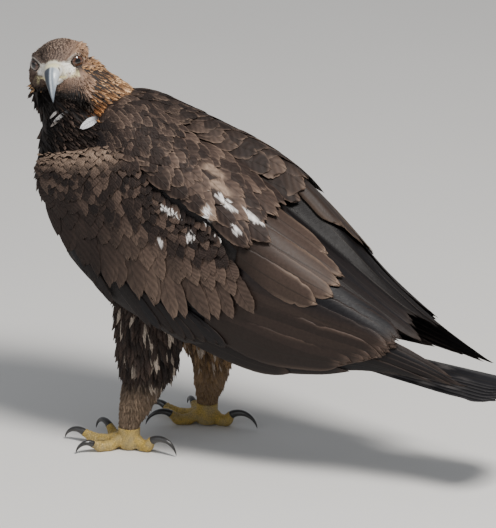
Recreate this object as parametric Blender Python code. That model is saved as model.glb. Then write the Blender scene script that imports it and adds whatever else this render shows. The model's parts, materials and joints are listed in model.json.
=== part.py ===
"""Golden eagle, a still life-size model that stands on the floor with its wings folded.

Sizes are in millimetres about a point on the floor between the feet. The beak side of the
body is towards -Y, the bird's left side towards +X, and the head is turned to its left.
The last step scales the model to metres and sets the middle of its footprint at the origin.
"""

import bisect
import math
import random

import bmesh
import bpy
import numpy as np
from mathutils import Matrix, Vector

# Driving dimensions
MM = 0.001
GAP = 0.3
FLAT = math.radians(0.3)
LEFT = 1
RIGHT = -1
FEATHER_THICK = 0.8
FEATHER_STEP = 1.7
SECTION_POWER = 2.8
TORSO_POWER = 2.3

# Rows of the torso: y, middle height, half width, half height
TORSO = (
    (-182, 396, 20, 22),
    (-174, 394, 50, 50),
    (-148, 388, 72, 74),
    (-90, 370, 87, 92),
    (-30, 346, 93, 100),
    (40, 314, 92, 100),
    (110, 280, 80, 84),
    (175, 238, 60, 60),
    (222, 194, 40, 36),
)
TAIL_PLANE = 222

# Rows of the neck: height of the row, x, y, radius fore and aft, radius sideways
NECK = (
    (385, 0, -86, 74, 76),
    (415, 0, -95, 79, 73),
    (440, 0, -105, 81, 66),
    (465, -2, -117, 76, 58),
    (488, -5, -129, 65, 48),
    (510, -7, -139, 38, 33),
)

# Where the torso ends and the neck starts: a point of the plane and its direction
NECK_PLANE = ((0, -105, 425), (0, -0.45, 0.89))
# How far the neck's rings lean, by their radius fore and aft
NECK_LEAN = 0.18

# The head's own frame: its middle, heading, roll and rows of it: place along the heading,
# middle height, half width, half height
HEAD_AT = (10, -156, 517)
HEAD_TURN = math.radians(105)
HEAD_ROLL = math.radians(5)
HEAD = (
    (-52, -4, 9, 8),
    (-46, -5, 22, 20),
    (-31, -6, 33, 30),
    (-10, -7, 37, 33),
    (8, -6, 32, 30),
    (22, -7, 21, 22),
    (31, -8, 15, 16),
)
EYE_RADIUS = 11
EYE_MIDDLE = (2.0, 18.6, 0.5)
EYE_TURN = math.radians(32)
LID_RADIUS = 9.3
LID_THICK = 1.5
# Edges of the bill as curves of four points, forward and up in the head's frame
CULMEN = ((31.3, 8), (48, 8), (62, -6), (62, -38))
TOMIUM = ((31.3, -12), (44, -12), (53, -15), (60, -36))
LOWER_TOP = ((31.3, -12.5), (38, -12.5), (46, -14), (51, -17))
LOWER_KEEL = ((31.3, -22), (38, -22), (46, -20.5), (51, -17.6))
# Half widths of the bill by share of its length
UPPER_WIDTHS = ((0, 13), (0.3, 10.5), (0.6, 7.5), (0.85, 3.5), (1, 0.7))
LOWER_WIDTHS = ((0, 11), (0.4, 9), (0.75, 6), (1, 1.5))

# Rows of the folded wing's outer surface: y, top height, half width, height where it is
# widest, half width at the lower edge, height of the lower edge
WING = (
    (-160, 415, 84, 372, 74, 318),
    (-110, 436, 99, 365, 94, 272),
    (-40, 455, 107, 345, 100, 217),
    (14, 446, 109, 322, 101, 192),
    (96, 416, 108, 285, 99, 162),
    (190, 356, 99, 240, 90, 141),
    (257, 309, 89, 215, 81, 147),
    (326, 260, 77, 195, 70, 157),
    (390, 219, 68, 176, 62, 155),
    (460, 178, 58, 160, 54, 146),
)
# How much higher the right wing is held: y and rise, which grows from the back to the share
# RISE_SHARE and is half as much at the lower edge
RIGHT_RISE = (
    (-110, 0),
    (-40, 5),
    (14, 12),
    (96, 22),
    (180, 34),
    (215, 29),
    (257, 20),
    (300, 9),
    (350, 3),
    (400, 0),
)
RISE_SHARE = 0.12
# Where the wing starts in front, by its share of the way from the back to the lower edge
WING_FRONT = (
    (0.0, 5),
    (0.2, 0),
    (0.27, -40),
    (0.34, -112),
    (0.45, -146),
    (0.6, -158),
    (0.75, -157),
    (0.88, -143),
    (1.0, -112),
)
# Where the wing's core ends behind, by the same share. Feathers make the rest.
WING_BACK = (
    (0.02, 205),
    (0.3, 200),
    (0.6, 190),
    (0.8, 165),
    (0.9, 120),
    (1.0, 45),
)
WING_CORE_SINK = 3
# Rows of the wing's feathers: how many, y and share of the first and last root, the same of
# the tips, bulge of the line of tips, width, height over the surface at root and tip
WING_FEATHERS = {
    "primary": (6, (66, 0.95), (150, 0.76), (255, 0.96), (440, 0.62), (85, 0.0), 34, (-11, -11)),
    "secondary": (7, (140, 0.81), (176, 0.36), (298, 0.87), (385, 0.36), (12, 0.03), 44, (-5.5, -5.5)),
    "tertial": (4, (176, 0.35), (176, 0.11), (300, 0.40), (278, 0.09), (10, 0.0), 42, (-5.5, -2.5)),
    "greater": (8, (-40, 0.86), (115, 0.31), (45, 0.91), (215, 0.36), (-8, 0.08), 42, (-7, 0)),
    "median": (7, (-70, 0.84), (35, 0.33), (-10, 0.89), (105, 0.36), (-4, 0.06), 42, (-7, 2.2)),
    "scapular_front": (4, (0, 0.27), (15, 0.08), (70, 0.34), (92, 0.09), (6, 0.0), 42, (-7, 4.4)),
    "scapular_rear": (4, (75, 0.30), (95, 0.08), (155, 0.35), (178, 0.09), (6, 0.0), 44, (-7, 3.0)),
}
LONG_FEATHERS = ("primary", "secondary", "tertial")
# Where along the bird the long feathers have their middle rows
STATIONS = (205, 265, 325, 385)
# Rows of a feather's outline: share of its length, of its width and of its thickness
SHORT_ROWS = ((0, 0.6, 1), (0.65, 1.0, 1), (1, 0.45, 0.7))
POINTED_ROWS = ((0, 0.8, 1.2), (0.55, 0.9, 1.2), (1, 0.12, 0.8))
TAIL_ROWS = ((0, 0.6, 1), (0.5, 0.9, 1), (0.92, 0.95, 1), (1, 0.4, 0.7))

# Rows of the tail's middle sheet: y, height, half width, droop of the edge
TAIL = (
    (222, 182, 26, 1),
    (300, 171, 36, 1),
    (400, 161, 46, 2),
    (480, 154, 53, 3),
    (520, 150, 54, 3),
)
# Rows of the tail's core: y, half width, half height
TAIL_CORE = ((222, 30, 19), (250, 28, 14), (285, 24, 8), (315, 16, 3))
TAIL_PAIRS = 6
TAIL_FEATHER_WIDTH = 35
# Rows of the tail's coverts: how many, y of root and tip, spread of roots and tips, height at
# root and tip, width
TAIL_COVERTS = {
    "upper": (5, 240, 345, 18, 32, 9, 4.5, 34),
    "under": (3, 240, 360, 15, 24, -12, -12, 36),
}
# Rows of hackles on the neck: height of the roots, how many, spread in degrees each way from
# the back of the neck, length
HACKLES = ((470, 11, 118, 36), (455, 10, 96, 35))
HACKLE_WIDTH = 22

# Rows of each leg: height, x, y, half width, half depth
THIGHS = {
    LEFT: (
        (285, 40, 4, 20, 40),
        (225, 52, 2, 32, 52),
        (165, 57, 1, 29, 48),
        (120, 60, -1, 25, 43),
        (95, 61, -6, 21, 35),
    ),
    RIGHT: (
        (285, -42, 14, 20, 40),
        (225, -54, 22, 32, 52),
        (165, -58, 28, 29, 48),
        (120, -60, 34, 25, 40),
        (95, -60, 39, 21, 33),
    ),
}
SHANKS = {
    LEFT: ((95, 61, -7, 20, 33), (60, 63, -17, 17, 24), (30, 65, -25, 14, 16)),
    RIGHT: ((95, -60, 40, 20, 31), (60, -62, 35, 17, 23), (30, -64, 31, 14, 16)),
}
FEET = {LEFT: (65, -25), RIGHT: (-64, 31)}
# Toes: name, heading away from straight ahead (out is positive), length, thickness, claw
TOES = (
    ("inner", -32, 50, 15, 44),
    ("middle", 4, 66, 15, 36),
    ("outer", 44, 52, 14, 31),
    ("hind", 176, 36, 16, 48),
)
CLAW_START = math.radians(35)
CLAW_END = math.radians(-80)

COLOURS = {
    "brown": (0.055, 0.038, 0.030),
    "gold": (0.30, 0.14, 0.05),
    "slate": (0.025, 0.022, 0.026),
    "tan": (0.24, 0.17, 0.11),
    "toe": (0.62, 0.46, 0.12),
    "claw": (0.02, 0.02, 0.02),
    "bill": (0.10, 0.12, 0.14),
    "iris": (0.13, 0.05, 0.015),
}


def curve_at(rows, place):
    """Values at one place on a smooth curve through rows of place, value, value..."""
    table = np.array(rows, float)
    places = table[:, 0]
    values = table[:, 1:]
    if places[0] > places[-1]:
        places = places[::-1]
        values = values[::-1]
    slopes = np.gradient(values, places, axis=0)
    place = min(max(place, places[0]), places[-1])
    i = min(max(bisect.bisect_right(places.tolist(), place) - 1, 0), len(places) - 2)
    span = places[i + 1] - places[i]
    t = (place - places[i]) / span
    start = values[i] * (2 * t**3 - 3 * t**2 + 1) + slopes[i] * span * (t**3 - 2 * t**2 + t)
    return start + values[i + 1] * (3 * t**2 - 2 * t**3) + slopes[i + 1] * span * (t**3 - t**2)


def add_object(name, mesh, collection):
    """A mesh as an object of a collection."""
    obj = bpy.data.objects.new(name, mesh)
    collection.objects.link(obj)
    return obj


def close_mesh(name, bm):
    """A bmesh as a mesh in metres, in triangles with its faces pointing out."""
    bmesh.ops.scale(bm, vec=(MM, MM, MM), verts=bm.verts)
    bmesh.ops.triangulate(bm, faces=bm.faces)
    bmesh.ops.recalc_face_normals(bm, faces=bm.faces)
    mesh = bpy.data.meshes.new(name)
    bm.to_mesh(mesh)
    bm.free()
    return mesh


def loft(name, rings, collection):
    """A closed solid through rings of points. A ring of one point is a tip."""
    bm = bmesh.new()
    rows = [[bm.verts.new(point) for point in ring] for ring in rings]
    for near, far in zip(rows, rows[1:]):
        if len(near) == 1 or len(far) == 1:
            tip, ring = (near[0], far) if len(near) == 1 else (far[0], near)
            for i in range(len(ring)):
                bm.faces.new((tip, ring[i], ring[(i + 1) % len(ring)]))
            continue
        for i in range(len(near)):
            k = (i + 1) % len(near)
            bm.faces.new((near[i], near[k], far[k], far[i]))
    for ring in (rows[0], rows[-1]):
        if len(ring) > 2:
            bm.faces.new(ring)
    return add_object(name, close_mesh(name, bm), collection)


def ellipse_ring(middle, across, along, count, power=2.0):
    """Points round a superellipse with two given half axes."""
    ring = []
    for i in range(count):
        turn = 2 * math.pi * (i + 0.5) / count
        c = math.copysign(abs(math.cos(turn)) ** (2 / power), math.cos(turn))
        s = math.copysign(abs(math.sin(turn)) ** (2 / power), math.sin(turn))
        ring.append(Vector(middle) + Vector(across) * c + Vector(along) * s)
    return ring


def evaluated_mesh(obj):
    """The object's mesh with its modifiers applied."""
    graph = bpy.context.evaluated_depsgraph_get()
    return bpy.data.meshes.new_from_object(obj.evaluated_get(graph))


def apply_modifiers(obj):
    """Gives the object its evaluated mesh and drops its modifiers."""
    mesh = evaluated_mesh(obj)
    obj.modifiers.clear()
    obj.data = mesh


def keep_largest(obj):
    """Keeps only the closed surface that holds the most volume."""
    bm = bmesh.new()
    bm.from_mesh(obj.data)
    left = set(bm.verts)
    groups = []
    while left:
        group = {left.pop()}
        edge_of_group = list(group)
        while edge_of_group:
            vert = edge_of_group.pop()
            for edge in vert.link_edges:
                other = edge.other_vert(vert)
                if other in left:
                    left.discard(other)
                    group.add(other)
                    edge_of_group.append(other)
        groups.append(group)
    if len(groups) > 1:
        groups.sort(key=volume_of, reverse=True)
        bmesh.ops.delete(bm, geom=[v for g in groups[1:] for v in g], context="VERTS")
    bmesh.ops.dissolve_limit(bm, angle_limit=FLAT, verts=bm.verts, edges=bm.edges)
    bmesh.ops.triangulate(bm, faces=bm.faces)
    bm.to_mesh(obj.data)
    bm.free()


def volume_of(verts):
    """The volume inside the closed surface that the vertices span."""
    faces = {face for vert in verts for face in vert.link_faces}
    total = 0.0
    for face in faces:
        corners = [vert.co for vert in face.verts]
        for i in range(1, len(corners) - 1):
            total += corners[0].dot(corners[i].cross(corners[i + 1]))
    return total


def boolean(obj, operation, others, solver="EXACT"):
    """Joins other solids to the object or cuts them from it, then removes them."""
    group = bpy.data.collections.new(obj.name + " " + operation.lower())
    bpy.context.scene.collection.children.link(group)
    for other in others:
        for home in list(other.users_collection):
            home.objects.unlink(other)
        group.objects.link(other)
    modifier = obj.modifiers.new(operation.title(), "BOOLEAN")
    modifier.operation = operation
    modifier.operand_type = "COLLECTION"
    modifier.collection = group
    modifier.solver = solver
    apply_modifiers(obj)
    for other in others:
        bpy.data.objects.remove(other)
    bpy.data.collections.remove(group)
    keep_largest(obj)
    return obj


def grown_copy(obj, distance, collection):
    """A copy of a solid that is larger by a distance on every side."""
    bm = bmesh.new()
    bm.from_mesh(obj.data)
    bm.normal_update()
    moves = [(vert, vert.normal * vert.calc_shell_factor() * distance * MM) for vert in bm.verts]
    for vert, move in moves:
        vert.co += move
    mesh = bpy.data.meshes.new(obj.name + " grown")
    bm.to_mesh(mesh)
    bm.free()
    return add_object(obj.name + " grown", mesh, collection)


def sliced(obj, name, at, normal, collection):
    """A copy of the part of a solid that lies behind a plane, half a gap short of it."""
    normal = Vector(normal).normalized()
    bm = bmesh.new()
    bm.from_mesh(obj.data)
    geometry = bm.verts[:] + bm.edges[:] + bm.faces[:]
    place = (Vector(at) - normal * GAP / 2) * MM
    bmesh.ops.bisect_plane(bm, geom=geometry, dist=1e-7, plane_co=place, plane_no=normal, clear_outer=True)
    bmesh.ops.holes_fill(bm, edges=[e for e in bm.edges if e.is_boundary], sides=0)
    bmesh.ops.triangulate(bm, faces=bm.faces)
    mesh = bpy.data.meshes.new(name)
    bm.to_mesh(mesh)
    bm.free()
    piece = add_object(name, mesh, collection)
    keep_largest(piece)
    return piece


def flat_cut(obj, at, normal):
    """Cuts off what lies in front of a plane and closes the cut."""
    bm = bmesh.new()
    bm.from_mesh(obj.data)
    geometry = bm.verts[:] + bm.edges[:] + bm.faces[:]
    place = Vector(at) * MM
    bmesh.ops.bisect_plane(bm, geom=geometry, dist=1e-7, plane_co=place, plane_no=normal, clear_outer=True)
    bmesh.ops.holes_fill(bm, edges=[e for e in bm.edges if e.is_boundary], sides=0)
    bm.to_mesh(obj.data)
    bm.free()
    keep_largest(obj)


def make_material(name, colour, roughness):
    """A Principled material of one colour."""
    material = bpy.data.materials.new(name)
    material.use_nodes = True
    shader = material.node_tree.nodes["Principled BSDF"]
    shader.inputs["Base Color"].default_value = (*colour, 1)
    shader.inputs["Roughness"].default_value = roughness
    shader.inputs["Metallic"].default_value = 0
    material.diffuse_color = (*colour, 1)
    return material


def paint(obj, colour, roughness=0.7):
    """Gives the object its own material."""
    obj.data.materials.clear()
    obj.data.materials.append(make_material(obj.name, COLOURS[colour], roughness))


# The body: torso, neck and head


def head_axes():
    """The head's forward, left and up directions."""
    turn = Matrix.Rotation(HEAD_TURN, 3, "Z")
    forward = turn @ Vector((0, -1, 0))
    left = Matrix.Rotation(HEAD_ROLL, 3, forward) @ turn @ Vector((1, 0, 0))
    return forward, left, forward.cross(left)


def head_point(forward, left, up):
    """A point of the head's own frame in the model's."""
    ahead, side, above = head_axes()
    return Vector(HEAD_AT) + ahead * forward + side * left + above * up


def head_side(forward, up):
    """How far to the side the head's surface is at a place along and up its side."""
    middle, wide, high = curve_at(HEAD, forward)
    share = min(abs(up - middle) / high, 1)
    return wide * math.sqrt(1 - share**2)


def make_torso(group):
    rings = []
    for y in np.concatenate((np.array([-182, -179, -173, -163]), np.linspace(-148, TAIL_PLANE, 11))):
        z, wide, high = curve_at(TORSO, y)
        rings.append(ellipse_ring((0, y, z), (wide, 0, 0), (0, 0, high), 24, TORSO_POWER))
    return loft("torso whole", rings, group)


def make_neck(group):
    rings = []
    for z in np.linspace(NECK[0][0], NECK[-1][0], 8):
        x, y, deep, wide = curve_at(NECK, z)
        rings.append(ellipse_ring((x, y, z), (wide, 0, 0), (0, deep, NECK_LEAN * deep), 24))
    return loft("neck whole", rings, group)


def make_head(group):
    ahead, side, above = head_axes()
    rings = []
    for place in (-53, -51, -47, -40, -31, -20, -8, 2, 10, 17, 24, 31):
        up, wide, high = curve_at(HEAD, place)
        rings.append(ellipse_ring(head_point(place, 0, up), side * wide, above * high, 24))
    return loft("head whole", rings, group)


def make_body(group):
    """Torso, neck and head as one solid, before it is parted into nodes."""
    torso = make_torso(group)
    return boolean(torso, "UNION", [make_neck(group), make_head(group)])


# The wings


def wing_section(y):
    """Points along the wing's section, from the middle of the back to its lower edge."""
    top, wide, belt, low_x, low_z = curve_at(WING, y)
    points = []
    for i in range(61):
        turn = math.pi / 2 * i / 60
        x = wide * math.sin(turn) ** (2 / SECTION_POWER)
        z = belt + (top - belt) * math.cos(turn) ** (2 / SECTION_POWER)
        points.append((x, z))
    for i in range(1, 31):
        q = i / 30
        points.append((wide + (low_x - wide) * q**2, belt + (low_z - belt) * q))
    return np.array(points)


def wing_table():
    """The wing's surface as points by row along the bird and share of the way down."""
    grid = []
    lengths = []
    shares = np.linspace(0, 1, 81)
    for y in WING_PLACES:
        section = wing_section(y)
        steps = np.linalg.norm(np.diff(section, axis=0), axis=1)
        run = np.concatenate(([0], np.cumsum(steps)))
        x = np.interp(shares, run / run[-1], section[:, 0])
        z = np.interp(shares, run / run[-1], section[:, 1])
        grid.append(np.stack((x, np.full_like(x, y), z), axis=1))
        lengths.append(run[-1])
    return np.array(grid), np.array(lengths)


WING_PLACES = np.linspace(-170, 490, 133)
WING_GRID, WING_LENGTHS = wing_table()


def wing_spot(y, share):
    """A point on the wing's outer surface. A share below 0 is past the middle of the back."""
    if share < 0:
        spot = wing_spot(y, -share)
        spot.x = -spot.x
        return spot
    row = (min(max(y, -168), 488) + 170) / (WING_PLACES[1] - WING_PLACES[0])
    column = min(max(share, 0), 1) * 80
    i = min(int(row), len(WING_PLACES) - 2)
    k = min(int(column), 79)
    a = row - i
    b = column - k
    near = WING_GRID[i, k] * (1 - b) + WING_GRID[i, k + 1] * b
    far = WING_GRID[i + 1, k] * (1 - b) + WING_GRID[i + 1, k + 1] * b
    spot = Vector(near * (1 - a) + far * a)
    spot.y = y
    return spot


def wing_point(side, y, share, height):
    """A point at a height over the wing's outer surface."""
    spot = wing_spot(y, share)
    along = wing_spot(y + 8, share) - wing_spot(y - 8, share)
    down = wing_spot(y, min(share + 0.03, 1)) - wing_spot(y, min(share, 1) - 0.03)
    normal = down.cross(along).normalized()
    point = spot + normal * height
    if side == RIGHT:
        grown = min(max(share / RISE_SHARE, 0), 1)
        rise = float(curve_at(RIGHT_RISE, y)[0])
        point.z += rise * grown * grown * (3 - 2 * grown) * (1 - share / 2)
    return Vector((side * point.x, point.y, point.z))


def wing_depth(a, share):
    """Thickness of the wing's core at a share of the way back and down."""
    deep = 12 + 40 * max(0.0, 1 - a / 0.5) ** 1.2 + 4 * max(0.0, 1 - a / 0.8)
    edge = min(1.0, 0.8 + 1.5 * min(share, 1 - share))
    return deep * edge


def wing_core(side, group):
    """The folded wing's flesh and small feathers as a smooth shell."""
    across, along = 14, 11
    shares = np.linspace(0.02, 1, across)
    outer, inner = [], []
    for share in shares:
        start = float(curve_at(WING_FRONT, share)[0])
        end = float(curve_at(WING_BACK, share)[0])
        for k in range(along):
            a = 0.5 - 0.5 * math.cos(math.pi * k / (along - 1))
            y = start + (end - start) * a
            depth = wing_depth(a, share)
            round_off = 0.35 * depth if k in (0, along - 1) else 0
            outer.append(wing_point(side, y, share, -WING_CORE_SINK - round_off))
            inner.append(wing_point(side, y, share, -WING_CORE_SINK - depth))
    return sheet("wing core", outer, inner, along, group)


def sheet(name, outer, inner, along, group):
    """A closed solid between two grids of points that lie face to face."""
    bm = bmesh.new()
    top = [bm.verts.new(point) for point in outer]
    low = [bm.verts.new(point) for point in inner]
    across = len(top) // along

    def at(grid, i, k):
        return grid[i * along + k]

    for i in range(across - 1):
        for k in range(along - 1):
            for grid in (top, low):
                corners = (at(grid, i, k), at(grid, i + 1, k), at(grid, i + 1, k + 1), at(grid, i, k + 1))
                bm.faces.new(corners)
    for i in range(across - 1):
        for k in (0, along - 1):
            bm.faces.new((at(top, i, k), at(top, i + 1, k), at(low, i + 1, k), at(low, i, k)))
    for k in range(along - 1):
        for i in (0, across - 1):
            bm.faces.new((at(top, i, k), at(top, i, k + 1), at(low, i, k + 1), at(low, i, k)))
    return add_object(name, close_mesh(name, bm), group)


def vane(name, place, rows, group):
    """A thin closed feather. Each row is a share of its length, its width and its thickness."""
    top, low = [], []
    for across in (-1, 0, 1):
        for t, width, thick in rows:
            pulled = t - 0.05 * abs(across) if t == 1 else t
            deep = FEATHER_THICK * thick * (1 if across == 0 else 0.7) / 2
            top.append(place(pulled, across * width, deep))
            low.append(place(pulled, across * width, -deep))
    return sheet(name, top, low, len(rows), group)


def row_line(kind, u):
    """Root and tip of the feather at a share of the way along a wing's row of feathers."""
    root_a, root_b, tip_a, tip_b, bulge = WING_FEATHERS[kind][1:6]
    root = np.array(root_a) * (1 - u) + np.array(root_b) * u
    tip = np.array(tip_a) * (1 - u) + np.array(tip_b) * u + 4 * u * (1 - u) * np.array(bulge)
    return root, tip


def row_number(kind, y, share):
    """Which feather of a row has its middle line at a place, as a number with a fraction."""
    count = WING_FEATHERS[kind][0]
    middles = []
    for i in range(count):
        root, tip = row_line(kind, i / (count - 1))
        middles.append(root[1] + (tip[1] - root[1]) * (y - root[0]) / (tip[0] - root[0]))
    for i in range(count - 1):
        if share >= middles[i + 1] or i == count - 2:
            return i + (middles[i] - share) / (middles[i] - middles[i + 1])


def long_rows(root_y, tip_y):
    """Rows of a flight feather, at the same stations for all of them so that none cross."""
    rows = [(0, 0.6, 1)]
    for y in STATIONS:
        t = (y - root_y) / (tip_y - root_y)
        if 0.08 < t < 0.86:
            rows.append((t, 0.95, 1))
    return rows + [(0.9, 0.85, 1), (1, 0.3, 0.7)]


def wing_feather(side, kind, i, group):
    """One feather of a wing's row, tilted so that each lies over the one below it."""
    count, width, heights = WING_FEATHERS[kind][0], *WING_FEATHERS[kind][6:]
    root, tip = row_line(kind, i / (count - 1))
    tip[0] += random.uniform(-4, 4)
    length = float(np.interp(root[0], WING_PLACES, WING_LENGTHS))
    run = np.array((tip[0] - root[0], (tip[1] - root[1]) * length))
    cross = np.array((-run[1], run[0])) / np.linalg.norm(run)

    def place(t, across, rise):
        y, share = root + (tip - root) * t
        spread = float(np.interp(y, WING_PLACES, WING_LENGTHS))
        offset = across * width / 2
        y += cross[0] * offset
        share += cross[1] * offset / spread
        number = row_number(kind, y, share)
        near_root, near_tip = row_line(kind, number / (count - 1))
        along = min(max((y - near_root[0]) / (near_tip[0] - near_root[0]), 0), 1)
        lift = heights[0] + (heights[1] - heights[0]) * min(along / 0.65, 1)
        return wing_point(side, y, share, lift + (i - number) * FEATHER_STEP + rise)

    rows = long_rows(root[0], tip[0]) if kind in LONG_FEATHERS else SHORT_ROWS
    return vane(kind, place, rows, group)


def make_wing(side, body, thigh, group, cutters):
    name = "wing_left" if side == LEFT else "wing_right"
    wing = wing_core(side, group)
    wing.name = name
    feathers = []
    for kind, row in WING_FEATHERS.items():
        feathers += [wing_feather(side, kind, i, cutters) for i in range(row[0])]
    boolean(wing, "UNION", feathers)
    boolean(wing, "DIFFERENCE", [grown_copy(body, GAP, cutters), grown_copy(thigh, GAP, cutters)])
    flat_cut(wing, (side * GAP, 0, 0), (-side, 0, 0))
    paint(wing, "brown")
    return wing


# The tail


def tail_point(y, x, height):
    """A point at a height over the tail's middle sheet."""
    z, wide, droop = curve_at(TAIL, y)
    return Vector((x, y, z - droop * (x / wide) ** 2 + height))


def tail_core(group):
    rings = []
    for y in (222 + GAP / 2, 240, 262, 285, 315):
        wide, high = curve_at(TAIL_CORE, y)
        middle = tail_point(y, 0, -2)
        rings.append(ellipse_ring(middle, (wide, 0, 0), (0, 0, high), 16))
    return loft("tail", rings, group)


def tail_feather(side, pair, group):
    """One long tail feather. Each pair lies under the pair nearer the middle."""
    number = pair + 0.5
    root_x = side * number * 3.2
    tip_x = side * number * 6.6
    tip_y = 519 - 0.45 * number**2 + random.uniform(-2, 2)

    def place(t, across, rise):
        x = root_x + (tip_x - root_x) * t + across * TAIL_FEATHER_WIDTH / 2
        drop = -number * FEATHER_STEP + (FEATHER_STEP / 2 if side == LEFT else 0)
        return tail_point(240 + (tip_y - 240) * t, x, drop + rise)

    return vane("tail feather", place, TAIL_ROWS, group)


def tail_covert(kind, i, group):
    count, root_y, tip_y, root_wide, tip_wide, root_high, tip_high, width = TAIL_COVERTS[kind]
    u = 2 * i / (count - 1) - 1
    end = tip_y - 26 * u * u + random.uniform(-3, 3)

    def place(t, across, rise):
        x = u * (root_wide + (tip_wide - root_wide) * t) + across * width / 2
        y = root_y + (end - root_y) * t
        arch = -6 * u * u * (1 - t) * math.copysign(1, root_high)
        high = root_high + (tip_high - root_high) * t + arch - abs(u) * FEATHER_STEP
        return tail_point(y, x, high + rise)

    return vane("tail covert", place, SHORT_ROWS, group)


def make_tail(group, cutters):
    tail = tail_core(group)
    feathers = [tail_feather(side, pair, cutters) for side in (LEFT, RIGHT) for pair in range(TAIL_PAIRS)]
    for kind, row in TAIL_COVERTS.items():
        feathers += [tail_covert(kind, i, cutters) for i in range(row[0])]
    boolean(tail, "UNION", feathers)
    flat_cut(tail, (0, TAIL_PLANE + GAP / 2, 0), (0, -1, 0))
    paint(tail, "slate")
    return tail


# Legs and feet


def leg_rings(rows, places):
    rings = []
    for z in places:
        x, y, wide, deep = curve_at(rows, z)
        rings.append(ellipse_ring((x, y, z), (wide, 0, 0), (0, deep, 0), 20))
    return rings


def make_thigh(side, body, group, cutters):
    name = "thigh_left" if side == LEFT else "thigh_right"
    rows = THIGHS[side]
    places = np.linspace(rows[0][0], rows[-1][0] + GAP / 2, 8)
    thigh = loft(name, leg_rings(rows, places), group)
    boolean(thigh, "DIFFERENCE", [grown_copy(body, GAP, cutters)])
    paint(thigh, "brown")
    return thigh


def make_shank(side, group):
    name = "shank_left" if side == LEFT else "shank_right"
    rows = SHANKS[side]
    places = np.linspace(rows[0][0] - GAP / 2, rows[-1][0] + GAP / 2, 5)
    shank = loft(name, leg_rings(rows, places), group)
    paint(shank, "tan")
    return shank


def claw_rise(claw):
    """How far the claw's root is above its tip."""
    radius = claw / (CLAW_START - CLAW_END)
    return radius * (math.cos(CLAW_START) - math.cos(CLAW_END))


def toe_direction(side, heading):
    turn = math.radians(heading)
    return Vector((side * math.sin(turn), -math.cos(turn), 0))


def toe_path(side, heading, length, thick, claw):
    """The toe's middle line from the foot's hub to the claw's root, with its radii."""
    hub = Vector((*FEET[side], 0))
    out = toe_direction(side, heading)
    radius = thick / 2
    end = claw_rise(claw) + 1.2
    rows = (
        (0.0, 20, radius),
        (0.25, radius + 4, radius * 1.05),
        (0.5, radius - 0.8, radius),
        (0.75, radius - 0.8, radius * 0.95),
        (1.0, end, radius * 0.72),
    )
    points = []
    for t in np.linspace(0, 1, 7):
        z, size = curve_at(rows, t)
        points.append((hub + out * (4 + (length - 4) * t) + Vector((0, 0, z)), size))
    return points, out


def tube(name, points, group, count=8, tip=False, start=None, end=None):
    """A loft of round rings along a bent line of points with radii."""
    rings = []
    last = len(points) - 1
    for i, (place, size) in enumerate(points):
        before = points[max(i - 1, 0)][0]
        after = points[min(i + 1, last)][0]
        along = (after - before).normalized()
        if i == 0 and start is not None:
            along = start
        if i == last and end is not None:
            along = end
        if i == last and tip:
            rings.append([place])
            continue
        side = along.cross(Vector((0, 0, 1)))
        if side.length < 1e-3:
            side = Vector((1, 0, 0))
        side.normalize()
        rings.append(ellipse_ring(place, side * size, side.cross(along) * size, count))
    return loft(name, rings, group)


def make_foot(side, group):
    x, y = FEET[side]
    rows = ((30, x, y, 14, 15), (18, x, y, 14, 15), (8, x, y, 15, 16), (0, x, y, 14, 15))
    hub = loft("foot", leg_rings(rows, (30 - GAP / 2, 22, 14, 7, 0)), group)
    toes = []
    for name, heading, length, thick, claw in TOES:
        points, out = toe_path(side, heading, length, thick, claw)
        end = out * math.cos(CLAW_START) + Vector((0, 0, math.sin(CLAW_START)))
        toes.append(tube(name + " toe", points, group, end=end))
    boolean(hub, "UNION", toes)
    flat_cut(hub, (0, 0, 0), (0, 0, -1))
    hub.name = "foot_left" if side == LEFT else "foot_right"
    paint(hub, "toe", 0.5)
    return hub


def make_claw(side, toe, group):
    label, heading, length, thick, claw = toe
    points, out = toe_path(side, heading, length, thick, claw)
    root, size = points[-1]
    bend = CLAW_START - CLAW_END
    radius = claw / bend
    start = out * math.cos(CLAW_START) + Vector((0, 0, math.sin(CLAW_START)))
    place = root + start * GAP
    line = []
    steps = 6
    for i in range(steps + 1):
        t = i / steps
        slope = CLAW_START - bend * t
        across = radius * (math.sin(CLAW_START) - math.sin(slope))
        rise = radius * (math.cos(slope) - math.cos(CLAW_START))
        at = place + out * across + Vector((0, 0, rise))
        line.append((at, size * 0.92 * (1 - t) ** 0.8 + 0.25))
    name = "claw_" + ("left_" if side == LEFT else "right_") + label
    piece = tube(name, line, group, count=6, tip=True, start=start)
    paint(piece, "claw", 0.35)
    return piece


# Eyes and bill


def eye_axis(side):
    ahead, left, above = head_axes()
    return ahead * math.sin(EYE_TURN) + left * side * math.cos(EYE_TURN)


def eye_middle(side):
    forward, across, up = EYE_MIDDLE
    return head_point(forward, side * across, up)


def ball(name, middle, radius, group, rings=8):
    bm = bmesh.new()
    bmesh.ops.create_uvsphere(bm, u_segments=2 * rings, v_segments=rings, radius=radius)
    bmesh.ops.translate(bm, vec=middle, verts=bm.verts)
    return add_object(name, close_mesh(name, bm), group)


def make_eye(side, group):
    name = "eye_left" if side == LEFT else "eye_right"
    eye = ball(name, eye_middle(side), EYE_RADIUS, group)
    paint(eye, "iris", 0.08)
    return eye


def orbit(side, group):
    """The hollow round the eye, an egg shape that opens along the eye's axis."""
    axis = eye_axis(side)
    ahead, left, above = head_axes()
    across = axis.cross(above).normalized()
    middle = eye_middle(side) + axis * 20
    rings = []
    for i in range(1, 12):
        turn = math.pi * i / 12
        at = middle - axis * 13 * math.cos(turn)
        rings.append(ellipse_ring(at, across * 14 * math.sin(turn), above * 10.5 * math.sin(turn), 16))
    rings = [[middle - axis * 13]] + rings + [[middle + axis * 13]]
    return loft("orbit", rings, group)


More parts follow.
